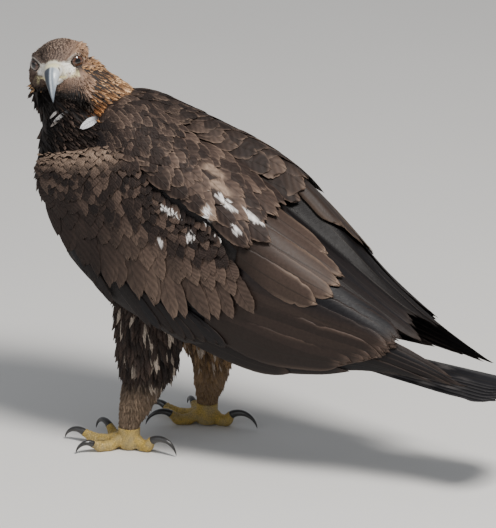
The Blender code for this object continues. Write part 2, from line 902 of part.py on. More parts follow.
def eyelid(side, group):
    """A ring of skin round the eye."""
    axis = eye_axis(side)
    reach = EYE_RADIUS + GAP + LID_THICK
    out = math.sqrt(reach**2 - LID_RADIUS**2)
    bpy.ops.mesh.primitive_torus_add(
        major_segments=16,
        minor_segments=5,
        major_radius=LID_RADIUS * MM,
        minor_radius=LID_THICK * MM,
    )
    ring = bpy.context.object
    turn = axis.to_track_quat("Z", "Y").to_matrix().to_4x4()
    ring.data.transform(Matrix.Translation((eye_middle(side) + axis * out) * MM) @ turn)
    for home in list(ring.users_collection):
        home.objects.unlink(ring)
    group.objects.link(ring)
    return ring


def brow(side, group):
    """The ridge of bone over the eye."""
    line = []
    for forward, across, up, size in ((-12, 27, 10, 3), (0, 28, 11.5, 5), (12, 26, 10.5, 5), (24, 17, 6, 3)):
        line.append((head_point(forward, side * across, up), size))
    return tube("brow", line, group, count=10)


def mouth_line(side, group):
    """The slit of the mouth, which runs back under the eye."""
    line = []
    for forward, up in ((34, -12.6), (27, -13), (20, -14), (13, -15.5), (7, -17.5)):
        line.append((head_point(forward, side * head_side(forward, up), up), 1.1))
    return tube("mouth", line, group, count=6)


def bezier(points, t):
    a, b, c, d = (Vector(p) for p in points)
    return a * (1 - t) ** 3 + b * 3 * t * (1 - t) ** 2 + c * 3 * t * t * (1 - t) + d * t**3


def bill_rings(upper, lower, widths, count):
    ahead, side, above = head_axes()
    rings = []
    for t in np.linspace(0, 1, count):
        high = bezier(upper, t)
        low = bezier(lower, t)
        middle = (high + low) / 2
        half = (high - low) / 2
        wide = float(curve_at(widths, t)[0])
        reach = ahead * half.x + above * half.y
        rings.append(ellipse_ring(head_point(middle.x, 0, middle.y), side * wide, reach, 14))
    return rings


def make_bill(group, cutters):
    upper = loft("bill_upper", bill_rings(CULMEN, TOMIUM, UPPER_WIDTHS, 11), group)
    pits = []
    for side in (LEFT, RIGHT):
        pit = ball("nostril", (0, 0, 0), 1, cutters, rings=4)
        ahead, left, above = head_axes()
        frame = Matrix((ahead * 3.2, left * 3, above * 2)).transposed().to_4x4()
        pit.data.transform(Matrix.Translation(head_point(38, side * 11, 1) * MM) @ frame)
        pits.append(pit)
    boolean(upper, "DIFFERENCE", pits)
    lower = loft("bill_lower", bill_rings(LOWER_TOP, LOWER_KEEL, LOWER_WIDTHS, 8), group)
    boolean(lower, "DIFFERENCE", [grown_copy(upper, GAP, cutters)])
    paint(upper, "bill", 0.35)
    paint(lower, "bill", 0.4)
    return [upper, lower]


def neck_point(height, turn, rise):
    """A point over the neck's surface, turned about it from the back of the neck."""
    x, y, deep, wide = curve_at(NECK, height)
    out = Vector((math.sin(turn) / wide, math.cos(turn) / deep, 0)).normalized()
    lean = NECK_LEAN * deep * math.cos(turn)
    spot = Vector((x + wide * math.sin(turn), y + deep * math.cos(turn), height + lean))
    return spot + out * rise


def hackle(height, turn, length, group):
    """One pointed feather of the neck, rooted in it and lifting towards its tip."""

    def place(t, across, rise):
        lift = -4 + 8 * min(t / 0.6, 1) + rise
        low = height - length * t
        deep, wide = curve_at(NECK, low)[2:]
        return neck_point(low, turn + across * HACKLE_WIDTH / (deep + wide), lift)

    return vane("hackle", place, POINTED_ROWS, group)


def add_hackles(neck, torso, cutters):
    """Gives the neck its pointed feathers and keeps them clear of the torso."""
    feathers = []
    for height, count, spread, length in HACKLES:
        for i in range(count):
            turn = math.radians(spread * (2 * i / (count - 1) - 1))
            feathers.append(hackle(height, turn, length * random.uniform(0.9, 1.1), cutters))
    boolean(neck, "UNION", feathers)
    boolean(neck, "DIFFERENCE", [grown_copy(torso, GAP, cutters)])


def part_body(body, group, cutters):
    """Parts the body into torso, neck and head, and carves the head."""
    neck_cut = (Vector(NECK_PLANE[0]), Vector(NECK_PLANE[1]))
    ahead = head_axes()[0]
    head_cut = (head_point(0, 0, -32), (ahead * 0.15 + Vector((0, 0, 0.99))).normalized())
    torso = sliced(body, "torso", neck_cut[0], neck_cut[1], group)
    flat_cut(torso, (0, TAIL_PLANE - GAP / 2, 0), (0, 1, 0))
    above_torso = sliced(body, "above", neck_cut[0], -neck_cut[1], cutters)
    neck = sliced(above_torso, "neck", head_cut[0], head_cut[1], group)
    head = sliced(above_torso, "head", head_cut[0], -head_cut[1], group)
    bpy.data.objects.remove(above_torso)
    add_hackles(neck, torso, cutters)
    flat_cut(neck, head_cut[0] - head_cut[1] * GAP / 2, head_cut[1])
    boolean(head, "UNION", [brow(s, cutters) for s in (LEFT, RIGHT)])
    boolean(head, "DIFFERENCE", [orbit(s, cutters) for s in (LEFT, RIGHT)])
    boolean(head, "UNION", [eyelid(s, cutters) for s in (LEFT, RIGHT)])
    sockets = [ball("socket", eye_middle(s), EYE_RADIUS + GAP, cutters) for s in (LEFT, RIGHT)]
    boolean(head, "DIFFERENCE", sockets + [mouth_line(s, cutters) for s in (LEFT, RIGHT)])
    paint(torso, "brown")
    paint(neck, "gold")
    paint(head, "gold")
    return [torso, neck, head]


def settle(parts):
    """Sets the middle of the model's footprint at the origin."""
    corners = np.array([v.co[:] for part in parts for v in part.data.vertices])
    low = corners.min(axis=0)
    high = corners.max(axis=0)
    shift = Vector(((low[0] + high[0]) / -2, (low[1] + high[1]) / -2, -low[2]))
    for part in parts:
        part.data.transform(Matrix.Translation(shift))
        part.data.shade_smooth()
        part.data.set_sharp_from_angle(angle=math.radians(40))


def main():
    random.seed(7)
    for obj in list(bpy.data.objects):
        bpy.data.objects.remove(obj)
    group = bpy.data.collections.new("golden_eagle")
    cutters = bpy.data.collections.new("cutters")
    cutters.hide_render = True
    for collection in (group, cutters):
        bpy.context.scene.collection.children.link(collection)
    body = make_body(cutters)
    parts = part_body(body, group, cutters)
    for side in (LEFT, RIGHT):
        thigh = make_thigh(side, body, group, cutters)
        wing = make_wing(side, body, thigh, group, cutters)
        parts += [thigh, wing, make_shank(side, group), make_foot(side, group), make_eye(side, group)]
        parts += [make_claw(side, toe, group) for toe in TOES]
    parts += make_bill(group, cutters)
    parts.append(make_tail(group, cutters))
    bpy.data.objects.remove(body)
    settle(parts)


main()
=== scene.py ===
# %% [markdown]
# # A golden eagle, life-size
# This script dresses a plain solid eagle in its plumage. The solids give every outline, and the
# script adds what a bird shows from near by: skin, some thousands of feathers, a horny bill,
# glassy eyes, scaled toes and hooked claws. Sizes are in millimetres about a point between the
# feet, and one function turns them into metres in the frame of the solids.

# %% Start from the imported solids
import json
import math

import bmesh
import bpy
import numpy as np
from mathutils import Matrix, Vector

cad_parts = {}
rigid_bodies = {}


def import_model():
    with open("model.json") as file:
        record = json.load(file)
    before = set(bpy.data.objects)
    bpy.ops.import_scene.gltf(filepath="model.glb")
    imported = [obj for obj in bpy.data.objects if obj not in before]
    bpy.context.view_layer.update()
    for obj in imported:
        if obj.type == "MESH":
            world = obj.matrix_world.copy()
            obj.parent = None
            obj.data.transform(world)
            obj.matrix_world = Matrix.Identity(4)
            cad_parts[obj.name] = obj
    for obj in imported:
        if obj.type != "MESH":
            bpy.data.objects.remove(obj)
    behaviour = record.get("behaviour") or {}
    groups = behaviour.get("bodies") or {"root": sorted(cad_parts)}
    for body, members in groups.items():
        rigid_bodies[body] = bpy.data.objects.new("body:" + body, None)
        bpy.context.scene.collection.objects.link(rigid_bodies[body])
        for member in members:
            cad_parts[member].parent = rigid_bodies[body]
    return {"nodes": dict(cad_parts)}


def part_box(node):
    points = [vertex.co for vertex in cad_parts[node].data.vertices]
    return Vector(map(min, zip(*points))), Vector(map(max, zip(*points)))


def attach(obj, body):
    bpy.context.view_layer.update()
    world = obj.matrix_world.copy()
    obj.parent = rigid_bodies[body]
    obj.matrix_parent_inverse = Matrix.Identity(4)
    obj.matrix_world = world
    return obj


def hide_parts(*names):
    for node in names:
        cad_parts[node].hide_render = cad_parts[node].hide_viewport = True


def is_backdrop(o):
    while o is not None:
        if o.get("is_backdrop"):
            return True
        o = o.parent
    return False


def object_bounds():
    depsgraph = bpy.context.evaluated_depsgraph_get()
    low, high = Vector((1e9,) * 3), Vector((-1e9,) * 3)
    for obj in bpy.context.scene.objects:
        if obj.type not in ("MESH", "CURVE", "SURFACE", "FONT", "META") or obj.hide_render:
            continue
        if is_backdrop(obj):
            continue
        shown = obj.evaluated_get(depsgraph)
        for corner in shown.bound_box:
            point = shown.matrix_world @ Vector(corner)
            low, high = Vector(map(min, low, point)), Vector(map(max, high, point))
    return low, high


for obj in list(bpy.data.objects):
    bpy.data.objects.remove(obj)
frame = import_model()
nodes = frame["nodes"]
cad_box = [list(corner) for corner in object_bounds()]
MM = 0.001
LEFT = 1
RIGHT = -1
print("solids:", len(nodes), "box:", cad_box)

# %% [markdown]
# The bird's forms are rows of numbers along a line, with a smooth curve through them. A cubic
# Hermite curve passes through every row and keeps its slope there, which suits a living shape.


# %% Smooth curves through rows of numbers
def curve_rows(rows, places):
    """Values on a smooth curve through rows of place, value, value... at many places."""
    table = np.array(rows, float)
    if table[0, 0] > table[-1, 0]:
        table = table[::-1]
    x = table[:, 0]
    v = table[:, 1:]
    slopes = np.gradient(v, x, axis=0)
    places = np.clip(np.asarray(places, float), x[0], x[-1])
    i = np.clip(np.searchsorted(x, places, side="right") - 1, 0, len(x) - 2)
    h = (x[i + 1] - x[i])[..., None]
    t = (places - x[i])[..., None] / h
    start = v[i] * (2 * t**3 - 3 * t**2 + 1) + slopes[i] * h * (t**3 - 2 * t**2 + t)
    return start + v[i + 1] * (3 * t**2 - 2 * t**3) + slopes[i + 1] * h * (t**3 - t**2)


def mix(first, second, share):
    share = np.asarray(share, float)[..., None]
    return np.asarray(first, float) * (1 - share) + np.asarray(second, float) * share


def blend(low, high, x):
    """0 below low, 1 above high and a smooth step between them."""
    t = np.clip((np.asarray(x, float) - low) / (high - low), 0, 1)
    return t * t * (3 - 2 * t)


# %% [markdown]
# The head is turned to the bird's left, so it has a frame of its own: ahead along the bill, left
# and above. The same middle, heading and roll place the eyes, lids, bill and the small feathers.

# %% The head's own frame
HEAD_AT = np.array((10.0, -156.0, 517.0))
HEAD_TURN = math.radians(105)
# The solid head rolls less than the dressed one, and its eyes lie deeper
SOLID_ROLL = math.radians(5)
HEAD_ROLL = math.radians(9)
SOLID_EYE = (2.0, 18.6, 0.5)


def head_axes(roll):
    """The head's forward, left and up directions as rows."""
    turn = Matrix.Rotation(HEAD_TURN, 3, "Z")
    forward = turn @ Vector((0, -1, 0))
    left = Matrix.Rotation(roll, 3, forward) @ turn @ Vector((1, 0, 0))
    return np.array((forward, left, forward.cross(left)))


SOLID_FRAME = head_axes(SOLID_ROLL)
HEAD_FRAME = head_axes(HEAD_ROLL)


def head_to_bird(points):
    """Points of forward, left and up in the head's frame as the bird's x, y and z."""
    return HEAD_AT + np.asarray(points, float) @ HEAD_FRAME


def bird_to_head(points):
    return (np.asarray(points, float) - HEAD_AT) @ HEAD_FRAME.T


print("the bill points to", HEAD_FRAME[0].round(2), "and the crown to", HEAD_FRAME[2].round(2))

# %% [markdown]
# An eagle's eyes look ahead and outwards from under the brow. The opening of the lids has one
# axis, and the gaze turns a little further ahead within it.

# %% Where the eyes are and how they look
EYE_RADIUS = 11
EYE_MIDDLE = (4.0, 25.4, 1.0)
EYE_TURN = math.radians(49)
GAZE_TURN = math.radians(57)
EYE_RISE = math.radians(6)


def eye_middle(side):
    forward, across, up = EYE_MIDDLE
    return head_to_bird((forward, side * across, up))


def eye_axis(side, turn=EYE_TURN):
    """The way the eye looks: ahead, outwards and a little up."""
    ahead, left, above = HEAD_FRAME
    level = ahead * math.sin(turn) + left * side * math.cos(turn)
    return level * math.cos(EYE_RISE) + above * math.sin(EYE_RISE)


print("the left eye's middle:", eye_middle(LEFT).round(1))

# %% [markdown]
# All shapes below are worked out in millimetres from the bird's own zero. The solid eyes are
# small and exact, so the left one tells where that zero lies in the frame of the solids.

# %% From the bird's millimetres to the frame of the solids
low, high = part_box("eye_left")
SHIFT = np.array((low + high) / 2) / MM - (HEAD_AT + np.array(SOLID_EYE) @ SOLID_FRAME)
print("the bird's own zero lies at", SHIFT.round(2), "mm in the frame of the solids")


def to_row(points):
    """Millimetres of the bird as metres in the frame of the solids."""
    return (np.asarray(points, float) + SHIFT) * MM


def to_bird(points):
    return np.asarray(points, float) / MM - SHIFT


# %% [markdown]
# Torso, neck and legs are lofts: rings round a line, joined one to the next. They repeat the
# solids' rows. Each ring is a superellipse, rounder or squarer by one power.

# %% The rows of torso, neck and legs
TORSO_POWER = 2.3
BREAST_Y = -182
# y, z, half width, half height
TORSO = (
    (-182, 396, 20, 22), (-174, 394, 50, 50), (-148, 388, 72, 74), (-90, 370, 87, 92),
    (-30, 346, 93, 100), (40, 314, 92, 100), (110, 280, 80, 84), (175, 238, 60, 60),
    (222, 194, 40, 36),
)
NECK_LEAN = 0.18
# z, x, y, half depth, half width
NECK = (
    (385, 0, -86, 74, 76), (415, 0, -95, 79, 73), (440, 0, -105, 81, 66), (465, -2, -117, 76, 58),
    (488, -5, -129, 65, 48), (510, -7, -139, 38, 33),
)
# z, x, y, half width, half depth: the left leg stands upright, the right one slants back
LEGS = {
    LEFT: (
        (285, 40, 4, 20, 40), (225, 52, 2, 32, 52), (165, 57, 1, 29, 48), (120, 60, -1, 25, 43),
        (95, 61, -6, 20.5, 34), (60, 63, -17, 17, 24), (30, 65, -25, 14, 16),
        (18, 65, -25, 13, 15),
    ),
    RIGHT: (
        (285, -42, 14, 20, 40), (225, -54, 22, 32, 52), (165, -58, 28, 29, 48),
        (120, -60, 34, 25, 40), (95, -60, 39, 20.5, 32), (60, -62, 35, 17, 23),
        (30, -64, 31, 14, 16), (18, -64, 31, 13, 15),
    ),
}


print("rows:", len(TORSO), len(NECK), *(len(rows) for rows in LEGS.values()))

# %% [markdown]
# The skin lies a few millimetres inside the solids, by the depth of the coat that grows on it,
# so every function of rings takes that depth as an inset.


# %% Rings of torso, neck and legs
THIN_BELOW = 95


def ring(middle, across, along, count, power=2.0):
    """Points round a superellipse with two given half axes."""
    turn = 2 * np.pi * (np.arange(count) + 0.5) / count
    c = np.sign(np.cos(turn)) * np.abs(np.cos(turn)) ** (2 / power)
    s = np.sign(np.sin(turn)) * np.abs(np.sin(turn)) ** (2 / power)
    return np.asarray(middle) + np.outer(c, across) + np.outer(s, along)


def torso_rings(inset, count=64):
    """Rings from the breast, where they are close together, to the rump."""
    near_breast = BREAST_Y + np.array((0, 1, 4, 9, 19))
    places = np.concatenate((near_breast, np.linspace(TORSO[2][0], TORSO[-1][0], 40)))
    rings = []
    for y, (z, wide, tall) in zip(places, curve_rows(TORSO, places)):
        across = (max(wide - inset, 2), 0, 0)
        upwards = (0, 0, max(tall - inset, 2))
        rings.append(ring((0, max(y, inset + BREAST_Y), z), across, upwards, count, TORSO_POWER))
    return rings


def neck_rings(inset, count=64):
    places = np.linspace(NECK[0][0], NECK[-1][0], 30)
    rings = []
    for z, (x, y, deep, wide) in zip(places, curve_rows(NECK, places)):
        deep = deep - inset
        rings.append(ring((x, y, z), (wide - inset, 0, 0), (0, deep, NECK_LEAN * deep), count))
    return rings


def leg_rings(side, inset, count=40):
    """Rings down a leg. The inset shrinks below the trousers, where the coat is short."""
    places = np.linspace(270, LEGS[side][-1][0], 60)
    rings = []
    for z, (x, y, wide, deep) in zip(places, curve_rows(LEGS[side], places)):
        thin = inset * (1 if z > THIN_BELOW else 0.3 + 0.7 * z / THIN_BELOW)
        rings.append(ring((x, y, z), (wide - thin, 0, 0), (0, deep - thin, 0), count))
    return rings


print("rings:", len(torso_rings(0)), len(neck_rings(0)), len(leg_rings(LEFT, 0)))

# %% [markdown]
# A loft joins each ring to the next with a belt of quads and closes both ends. The order of its
# corners could leave it inside out, so its normals are recalculated.


# %% Meshes from rings
MERGE_DISTANCE = 1e-7


def add_mesh(name, points, faces):
    """A mesh object from points of the bird in millimetres."""
    mesh = bpy.data.meshes.new(name)
    mesh.from_pydata(to_row(points).tolist(), [], [list(f) for f in faces])
    obj = bpy.data.objects.new(name, mesh)
    bpy.context.scene.collection.objects.link(obj)
    return obj


def quads(g):
    """The faces between neighbours in a grid of vertex numbers."""
    corners = g[..., :-1, :-1], g[..., :-1, 1:], g[..., 1:, 1:], g[..., 1:, :-1]
    return np.stack(corners, -1).reshape(-1, 4)


def belt(rows, count):
    """The grid of numbers of a tube of rings, with its first column again at the end."""
    grid = np.arange(rows * count).reshape(rows, count)
    return np.concatenate((grid, grid[:, :1]), 1)


def loft(name, rings):
    """A closed mesh through rings of points, with its faces pointing out."""
    rows, count = len(rings), len(rings[0])
    faces = quads(belt(rows, count)).tolist()
    faces += [range(count), range((rows - 1) * count, rows * count)]
    obj = add_mesh(name, np.concatenate(rings), faces)
    face_out(obj)
    return obj


def face_out(obj):
    """Recalculates the normals so that the faces point outwards."""
    bm = bmesh.new()
    bm.from_mesh(obj.data)
    bmesh.ops.remove_doubles(bm, verts=bm.verts, dist=MERGE_DISTANCE)
    bmesh.ops.recalc_face_normals(bm, faces=bm.faces)
    bm.to_mesh(obj.data)
    bm.free()


# %% [markdown]
# Modifiers do the heavy work on a mesh: a voxel remesh fuses shells that overlap into one, and
# a smoothing softens it. Their result then becomes the object's own plain mesh.


# %% Helpers that join, fuse and read meshes
def plain(obj):
    """Turns what the modifiers give into the object's own mesh."""
    graph = bpy.context.evaluated_depsgraph_get()
    mesh = bpy.data.meshes.new_from_object(obj.evaluated_get(graph))
    obj.modifiers.clear()
    obj.data = mesh
    return obj


def joined(name, objects):
    """One object of several, whose meshes are put in a single one."""
    bm = bmesh.new()
    for obj in objects:
        bm.from_mesh(obj.data)
    mesh = bpy.data.meshes.new(name)
    bm.to_mesh(mesh)
    bm.free()
    for obj in objects:
        bpy.data.objects.remove(obj)
    obj = bpy.data.objects.new(name, mesh)
    bpy.context.scene.collection.objects.link(obj)
    return obj


def remeshed(obj, voxel, smooth):
    """Fuses overlapping shells into one skin and softens it. Sizes are in millimetres."""
    modifier = obj.modifiers.new("Fuse", "REMESH")
    modifier.mode = "VOXEL"
    modifier.voxel_size = voxel * MM
    if smooth:
        soft = obj.modifiers.new("Soften", "SMOOTH")
        soft.factor = 0.5
        soft.iterations = smooth
    return plain(obj)


def vertices(obj):
    """The vertices as an array of points of the bird in millimetres."""
    co = np.zeros(len(obj.data.vertices) * 3, np.float32)
    obj.data.vertices.foreach_get("co", co)
    return to_bird(co.reshape(-1, 3))


def normals(obj):
    n = np.zeros(len(obj.data.vertices) * 3, np.float32)
    obj.data.vertices.foreach_get("normal", n)
    return n.reshape(-1, 3).astype(float)


def set_vertices(obj, points):
    obj.data.vertices.foreach_set("co", to_row(points).astype(np.float32).ravel())
    obj.data.update()


# %% [markdown]
# A bird's skin has no edges, so the body, neck and legs are lofted apart and fused by a voxel
# remesh, which closes every joint, and a short smoothing rounds the creases between them.

# %% The skin of body, neck and legs
COAT_DEPTH = 5
BODY_VOXEL = 3.0
LEG_VOXEL = 2.2

trunk = [loft("torso", torso_rings(COAT_DEPTH)), loft("neck", neck_rings(COAT_DEPTH))]
body_skin = remeshed(joined("body skin", trunk), BODY_VOXEL, 14)
legs = [loft("leg", leg_rings(side, COAT_DEPTH)) for side in (LEFT, RIGHT)]
legs_skin = remeshed(joined("legs skin", legs), LEG_VOXEL, 4)
print("body skin:", len(body_skin.data.polygons), "faces, legs:", len(legs_skin.data.polygons))

# %% [markdown]
# Three small corrections follow the photo: the throat swells under the bill, the crop below it
# draws in, and the hind neck sinks by the depth of its long hackles.


# %% Throat, crop and hind neck
def hump(*terms):
    """A bell of height 1 over one or more coordinates, each with its middle and width."""
    return np.exp(-sum(((x - middle) / wide) ** 2 for x, middle, wide in terms))


points = vertices(body_skin)
throat = 8 * hump((points[:, 2], 474, 18)) * blend(-150, -185, points[:, 1])
crop = 11 * hump((points[:, 2], 405, 34)) * blend(-150, -180, points[:, 1])
points[:, 1] -= throat - crop
hind_neck = 6 * blend(440, 470, points[:, 2]) * blend(-125, -95, points[:, 1])
points -= normals(body_skin) * hind_neck[:, None]
set_vertices(body_skin, points)
print("throat out by", throat.max().round(1), "mm, crop in by", crop.max().round(1), "mm")

# %% [markdown]
# Round each eye the skin is pressed to the ball, with a rim of lids and a hard brow above. How
# far out a point lies from the middle of the opening (1 is its rim) serves shape and paint alike.

# %% The opening of the eye
LID = 1.1
OPENING_ACROSS = 50.0
OPENING_ABOVE = 33.0
OPENING_BELOW = 44.0
LOOSEST = 16


def eye_place(points, side):
    """How far out points lie from the middle of the eye's opening (1 is its rim), and their
    distance from the ball's middle. The opening is wider than tall, and flatter above."""
    away = points - eye_middle(side)
    reach = np.linalg.norm(away, axis=1)
    axis = eye_axis(side)
    across = np.cross(HEAD_FRAME[2], axis)
    across /= np.linalg.norm(across)
    above = np.cross(axis, across)
    if above @ HEAD_FRAME[2] < 0:
        above = -above
    ahead = np.degrees(np.arctan2(away @ across, away @ axis))
    rise = np.degrees(np.arctan2(away @ above, away @ axis))
    tall = np.where(rise > 0, OPENING_ABOVE, OPENING_BELOW)
    return np.hypot(ahead / OPENING_ACROSS, rise / tall), rise, reach


def open_eye(points, side):
    """Presses the skin to the eyeball round the opening and leaves it under the ball inside."""
    q, rise, reach = eye_place(points, side)
    over = rise > 0
    rim = EYE_RADIUS + LID
    inside = EYE_RADIUS - 1.5
    most = inside + (rim - inside) * blend(0.93, 1.03, q)
    loose = np.where(over, blend(1.25, 1.75, q), blend(1.4, 2.3, q))
    most = most + LOOSEST * loose
    least = np.where((q > 1.03) & (q < 1.5), EYE_RADIUS + 0.9, 0)
    wanted = np.clip(reach, least, np.maximum(most, least))
    near = ((q < 2.4) & (reach < 30))[:, None]
    away = points - eye_middle(side)
    pressed = eye_middle(side) + away / reach[:, None] * wanted[:, None]
    return np.where(near, pressed, points)


def relax(obj, chosen, rounds):
    """Moves chosen vertices to the middle of their neighbours, a little at a time."""
    edges = np.zeros(len(obj.data.edges) * 2, np.int32)
    obj.data.edges.foreach_get("vertices", edges)
    a, b = edges.reshape(-1, 2).T
    points = vertices(obj)
    count = np.bincount(a, minlength=len(points)) + np.bincount(b, minlength=len(points))
    for _ in range(rounds):
        total = np.zeros_like(points)
        np.add.at(total, a, points[b])
        np.add.at(total, b, points[a])
        middle = total / np.maximum(count, 1)[:, None]
        points = points + (middle - points) * (0.5 * chosen)[:, None]
    set_vertices(obj, points)


# %% [markdown]
# The head's skin starts from the solid head. A fine remesh turns its facets into one surface.
# It is then rolled to the photo's tilt, which fades out towards the neck.

# %% The skin of the head from its solid
HEAD_VOXEL = 0.9

head_skin = bpy.data.objects.new("head skin", nodes["head"].data.copy())
bpy.context.scene.collection.objects.link(head_skin)
face_out(head_skin)
remeshed(head_skin, HEAD_VOXEL, 3)
solid = vertices(head_skin)
own = (solid - HEAD_AT) @ SOLID_FRAME.T
f, s, u = own.T
set_vertices(head_skin, mix(head_to_bird(own), solid, blend(18, 52, s)))
print("head skin:", len(head_skin.data.polygons), "faces")

# %% [markdown]
# The surface is modelled like clay: nape, temple and cheek are fuller than the flesh, and the
# rear narrows towards the neck. Then the eyes are opened and the lids relaxed.

# %% Modelling the head
HEAD_COAT = 1.2
NARROWING = 0.32
SINKING = 10

nape = 8 * hump((f, -10, 18), (s, 30, 12), (u, 12, 12))
nape += 4 * hump((f, -12, 16), (s, 40, 9), (u, 6, 10))
temple = 4.5 * blend(-20, -31, s) * hump((u, -6, 20))
cheek = 11 * hump((u, -26, 13)) * blend(-12, -26, s)
inset = HEAD_COAT * blend(30, 24, f)
points = vertices(head_skin) + normals(head_skin) * (nape + temple + cheek - inset)[:, None]
rear = blend(40, 64, s)
axis = curve_rows(NECK, np.minimum(points[:, 2], NECK[-1][0]))[:, :2]
points[:, :2] += (axis - points[:, :2]) * (NARROWING * rear)[:, None]
points[:, 2] -= SINKING * rear
for side in (LEFT, RIGHT):
    points = open_eye(points, side)
set_vertices(head_skin, points)
lids = np.max([blend(1.9, 1.5, eye_place(points, side)[0]) for side in (LEFT, RIGHT)], axis=0)
relax(head_skin, lids, 2)
print("nape out by", nape.max().round(1), "mm, cheek by", cheek.max().round(1), "mm")

# %% [markdown]
# Both geometry nodes and materials are trees of nodes. One helper adds a node, sets it up first
# and then fills its sockets, with numbers or with links from other nodes.

# %% A small helper for node trees
def add_node(tree, kind, settings=None, inputs=None):
    """A node with its settings set first, then its sockets by name or number."""
    node = tree.nodes.new(kind)
    for key, value in (settings or {}).items():
        setattr(node, key, value)
    for key, value in (inputs or {}).items():
        usable = [s for s in node.inputs if s.enabled]
        socket = usable[key] if isinstance(key, int) else next(s for s in usable if s.name == key)
        if isinstance(value, bpy.types.NodeSocket):
            tree.links.new(value, socket)
        else:
            socket.default_value = value
    return node


def out(node, key=0):
    """An enabled output of a node by name or number."""
    usable = [s for s in node.outputs if s.enabled]
    return usable[key] if isinstance(key, int) else next(s for s in usable if s.name == key)


print("settings come before sockets, since some settings change the sockets")

# %% [markdown]
# Shader maths reads best as maths. The small class below wraps a socket, so that + - * and /
# between sockets and numbers add the math nodes themselves.


# %% A socket that can be calculated with
class Field:
    """A shader socket with the operators of a number."""

    def __init__(self, shader, socket):
        self.shader = shader
        self.socket = socket

    def math(self, operation, *others):
        values = dict(enumerate((self, *others)))
        return self.shader.add("ShaderNodeMath", {"operation": operation}, values)

    def __add__(self, other):
        return self.math("ADD", other)

    def __mul__(self, other):
        return self.math("MULTIPLY", other)

    def __sub__(self, other):
        return self.math("SUBTRACT", other)

    def __truediv__(self, other):
        return self.math("DIVIDE", other)

    def __pow__(self, other):
        return self.math("POWER", other)

    def __rsub__(self, other):
        return self.shader.add("ShaderNodeMath", {"operation": "SUBTRACT"}, {0: other, 1: self})

    __radd__ = __add__
    __rmul__ = __mul__

    def between(self, low, high):
        """0 below low, 1 above high, smooth between."""
        inputs = {"Value": self, "From Min": low, "From Max": high}
        return self.shader.add("ShaderNodeMapRange", {"interpolation_type": "SMOOTHSTEP"}, inputs)


# %% [markdown]
# A material is a Principled shader that is fed by such fields. One method adds any node, from
# its type, settings and sockets, and short ones cover what every material below needs.


# %% A material built from fields
class Shader:
    """A Principled material that is built from fields."""

    def __init__(self, name, roughness=0.6, constants=None):
        self.material = bpy.data.materials.new(name)
        self.material.use_nodes = True
        self.tree = self.material.node_tree
        self.main = self.tree.nodes["Principled BSDF"]
        self.main.inputs["Roughness"].default_value = roughness
        for key, value in (constants or {}).items():
            self.main.inputs[key].default_value = value

    def add(self, kind, settings=None, inputs=None, output=0):
        values = {k: v.socket if isinstance(v, Field) else v for k, v in (inputs or {}).items()}
        return Field(self, out(add_node(self.tree, kind, settings, values), output))

    def attribute(self, name, output):
        return self.add("ShaderNodeAttribute", {"attribute_name": name}, None, output)

    def parts(self, vector):
        split = add_node(self.tree, "ShaderNodeSeparateXYZ", None, {0: vector.socket})
        return [Field(self, out(split, i)) for i in range(3)]

    def place(self):
        return self.add("ShaderNodeTexCoord", None, None, "Object")

    def noise(self, vector, scale, detail=3.0, output=0):
        inputs = {"Vector": vector, "Scale": scale, "Detail": detail}
        return self.add("ShaderNodeTexNoise", None, inputs, output)

    def mix(self, share, first, second):
        """A mix of two colours. Plain colours are given as three numbers."""
        a, b = [(*c, 1) if isinstance(c, tuple) else c for c in (first, second)]
        inputs = {"Factor": share, "A": a, "B": b}
        return self.add("ShaderNodeMix", {"data_type": "RGBA"}, inputs)

    def scale(self, colour, value):
        """A colour made lighter or darker by a number."""
        grey = self.add("ShaderNodeCombineColor", None, {0: value, 1: value, 2: value})
        settings = {"data_type": "RGBA", "blend_type": "MULTIPLY"}
        return self.add("ShaderNodeMix", settings, {"Factor": 1.0, "A": colour, "B": grey})

    def bump(self, height, distance, strength=1.0):
        inputs = {"Height": height, "Distance": distance, "Strength": strength}
        self.set("Normal", self.add("ShaderNodeBump", None, inputs))

    def set(self, name, field):
        self.tree.links.new(field.socket, self.main.inputs[name])


# %% [markdown]
# All plumage is painted alike. Each vertex carries the colour of its place, and the shader adds
# what is finer than the mesh: slanting barbs, the shaft and a little unevenness.


# %% The plumage materials
FEATHER_SHINE = 0.16
BARB_SLANT = -0.22
SHAFT_WIDTH = 0.09
SHAFT_COLOUR = (0.02, 0.016, 0.013)
FULL_TURN = 6.2832


def plumage(name, roughness, barbs, shaft, depth, ribs):
    """Feather material: barbs is how many show along a vane, shaft how much the shaft shows."""
    shader = Shader(name, roughness, {"Specular IOR Level": FEATHER_SHINE})
    tint = shader.attribute("tint", "Color")
    across, along, _ = shader.parts(shader.attribute("leaf", "Vector"))
    slant = along * barbs + across.math("ABSOLUTE") * (barbs * BARB_SLANT)
    ripple = (slant * FULL_TURN).math("SINE") * 0.5 + 0.5
    clump = shader.noise(shader.place(), 260.0, 2.0)
    worn = ripple * ribs + clump * 0.9
    lit = 0.62 + worn * 0.62
    middle = 1 - across.math("ABSOLUTE").between(0.0, SHAFT_WIDTH)
    colour = shader.scale(tint, lit)
    colour = shader.mix(middle * shaft, colour, SHAFT_COLOUR)
    shader.set("Base Color", colour)
    shader.set("Roughness", roughness - 0.1 + clump * 0.2)
    shader.bump(ripple * 0.5 + middle * 0.8 + clump * 0.4, depth)
    return shader.material


PLUMAGE = plumage("small feathers", 0.62, barbs=7.0, shaft=0.3, depth=0.0005, ribs=0.5)
FLIGHT = plumage("flight feathers", 0.46, barbs=55.0, shaft=0.6, depth=0.00015, ribs=0.25)
print("plumage materials:", PLUMAGE.name, "and", FLIGHT.name)

# %% [markdown]
# A small feather is a thin, slightly domed vane, widest past its middle. One vane of a few faces
# is the pattern for hundreds. Each vertex keeps its place on the feather: x across, y along.


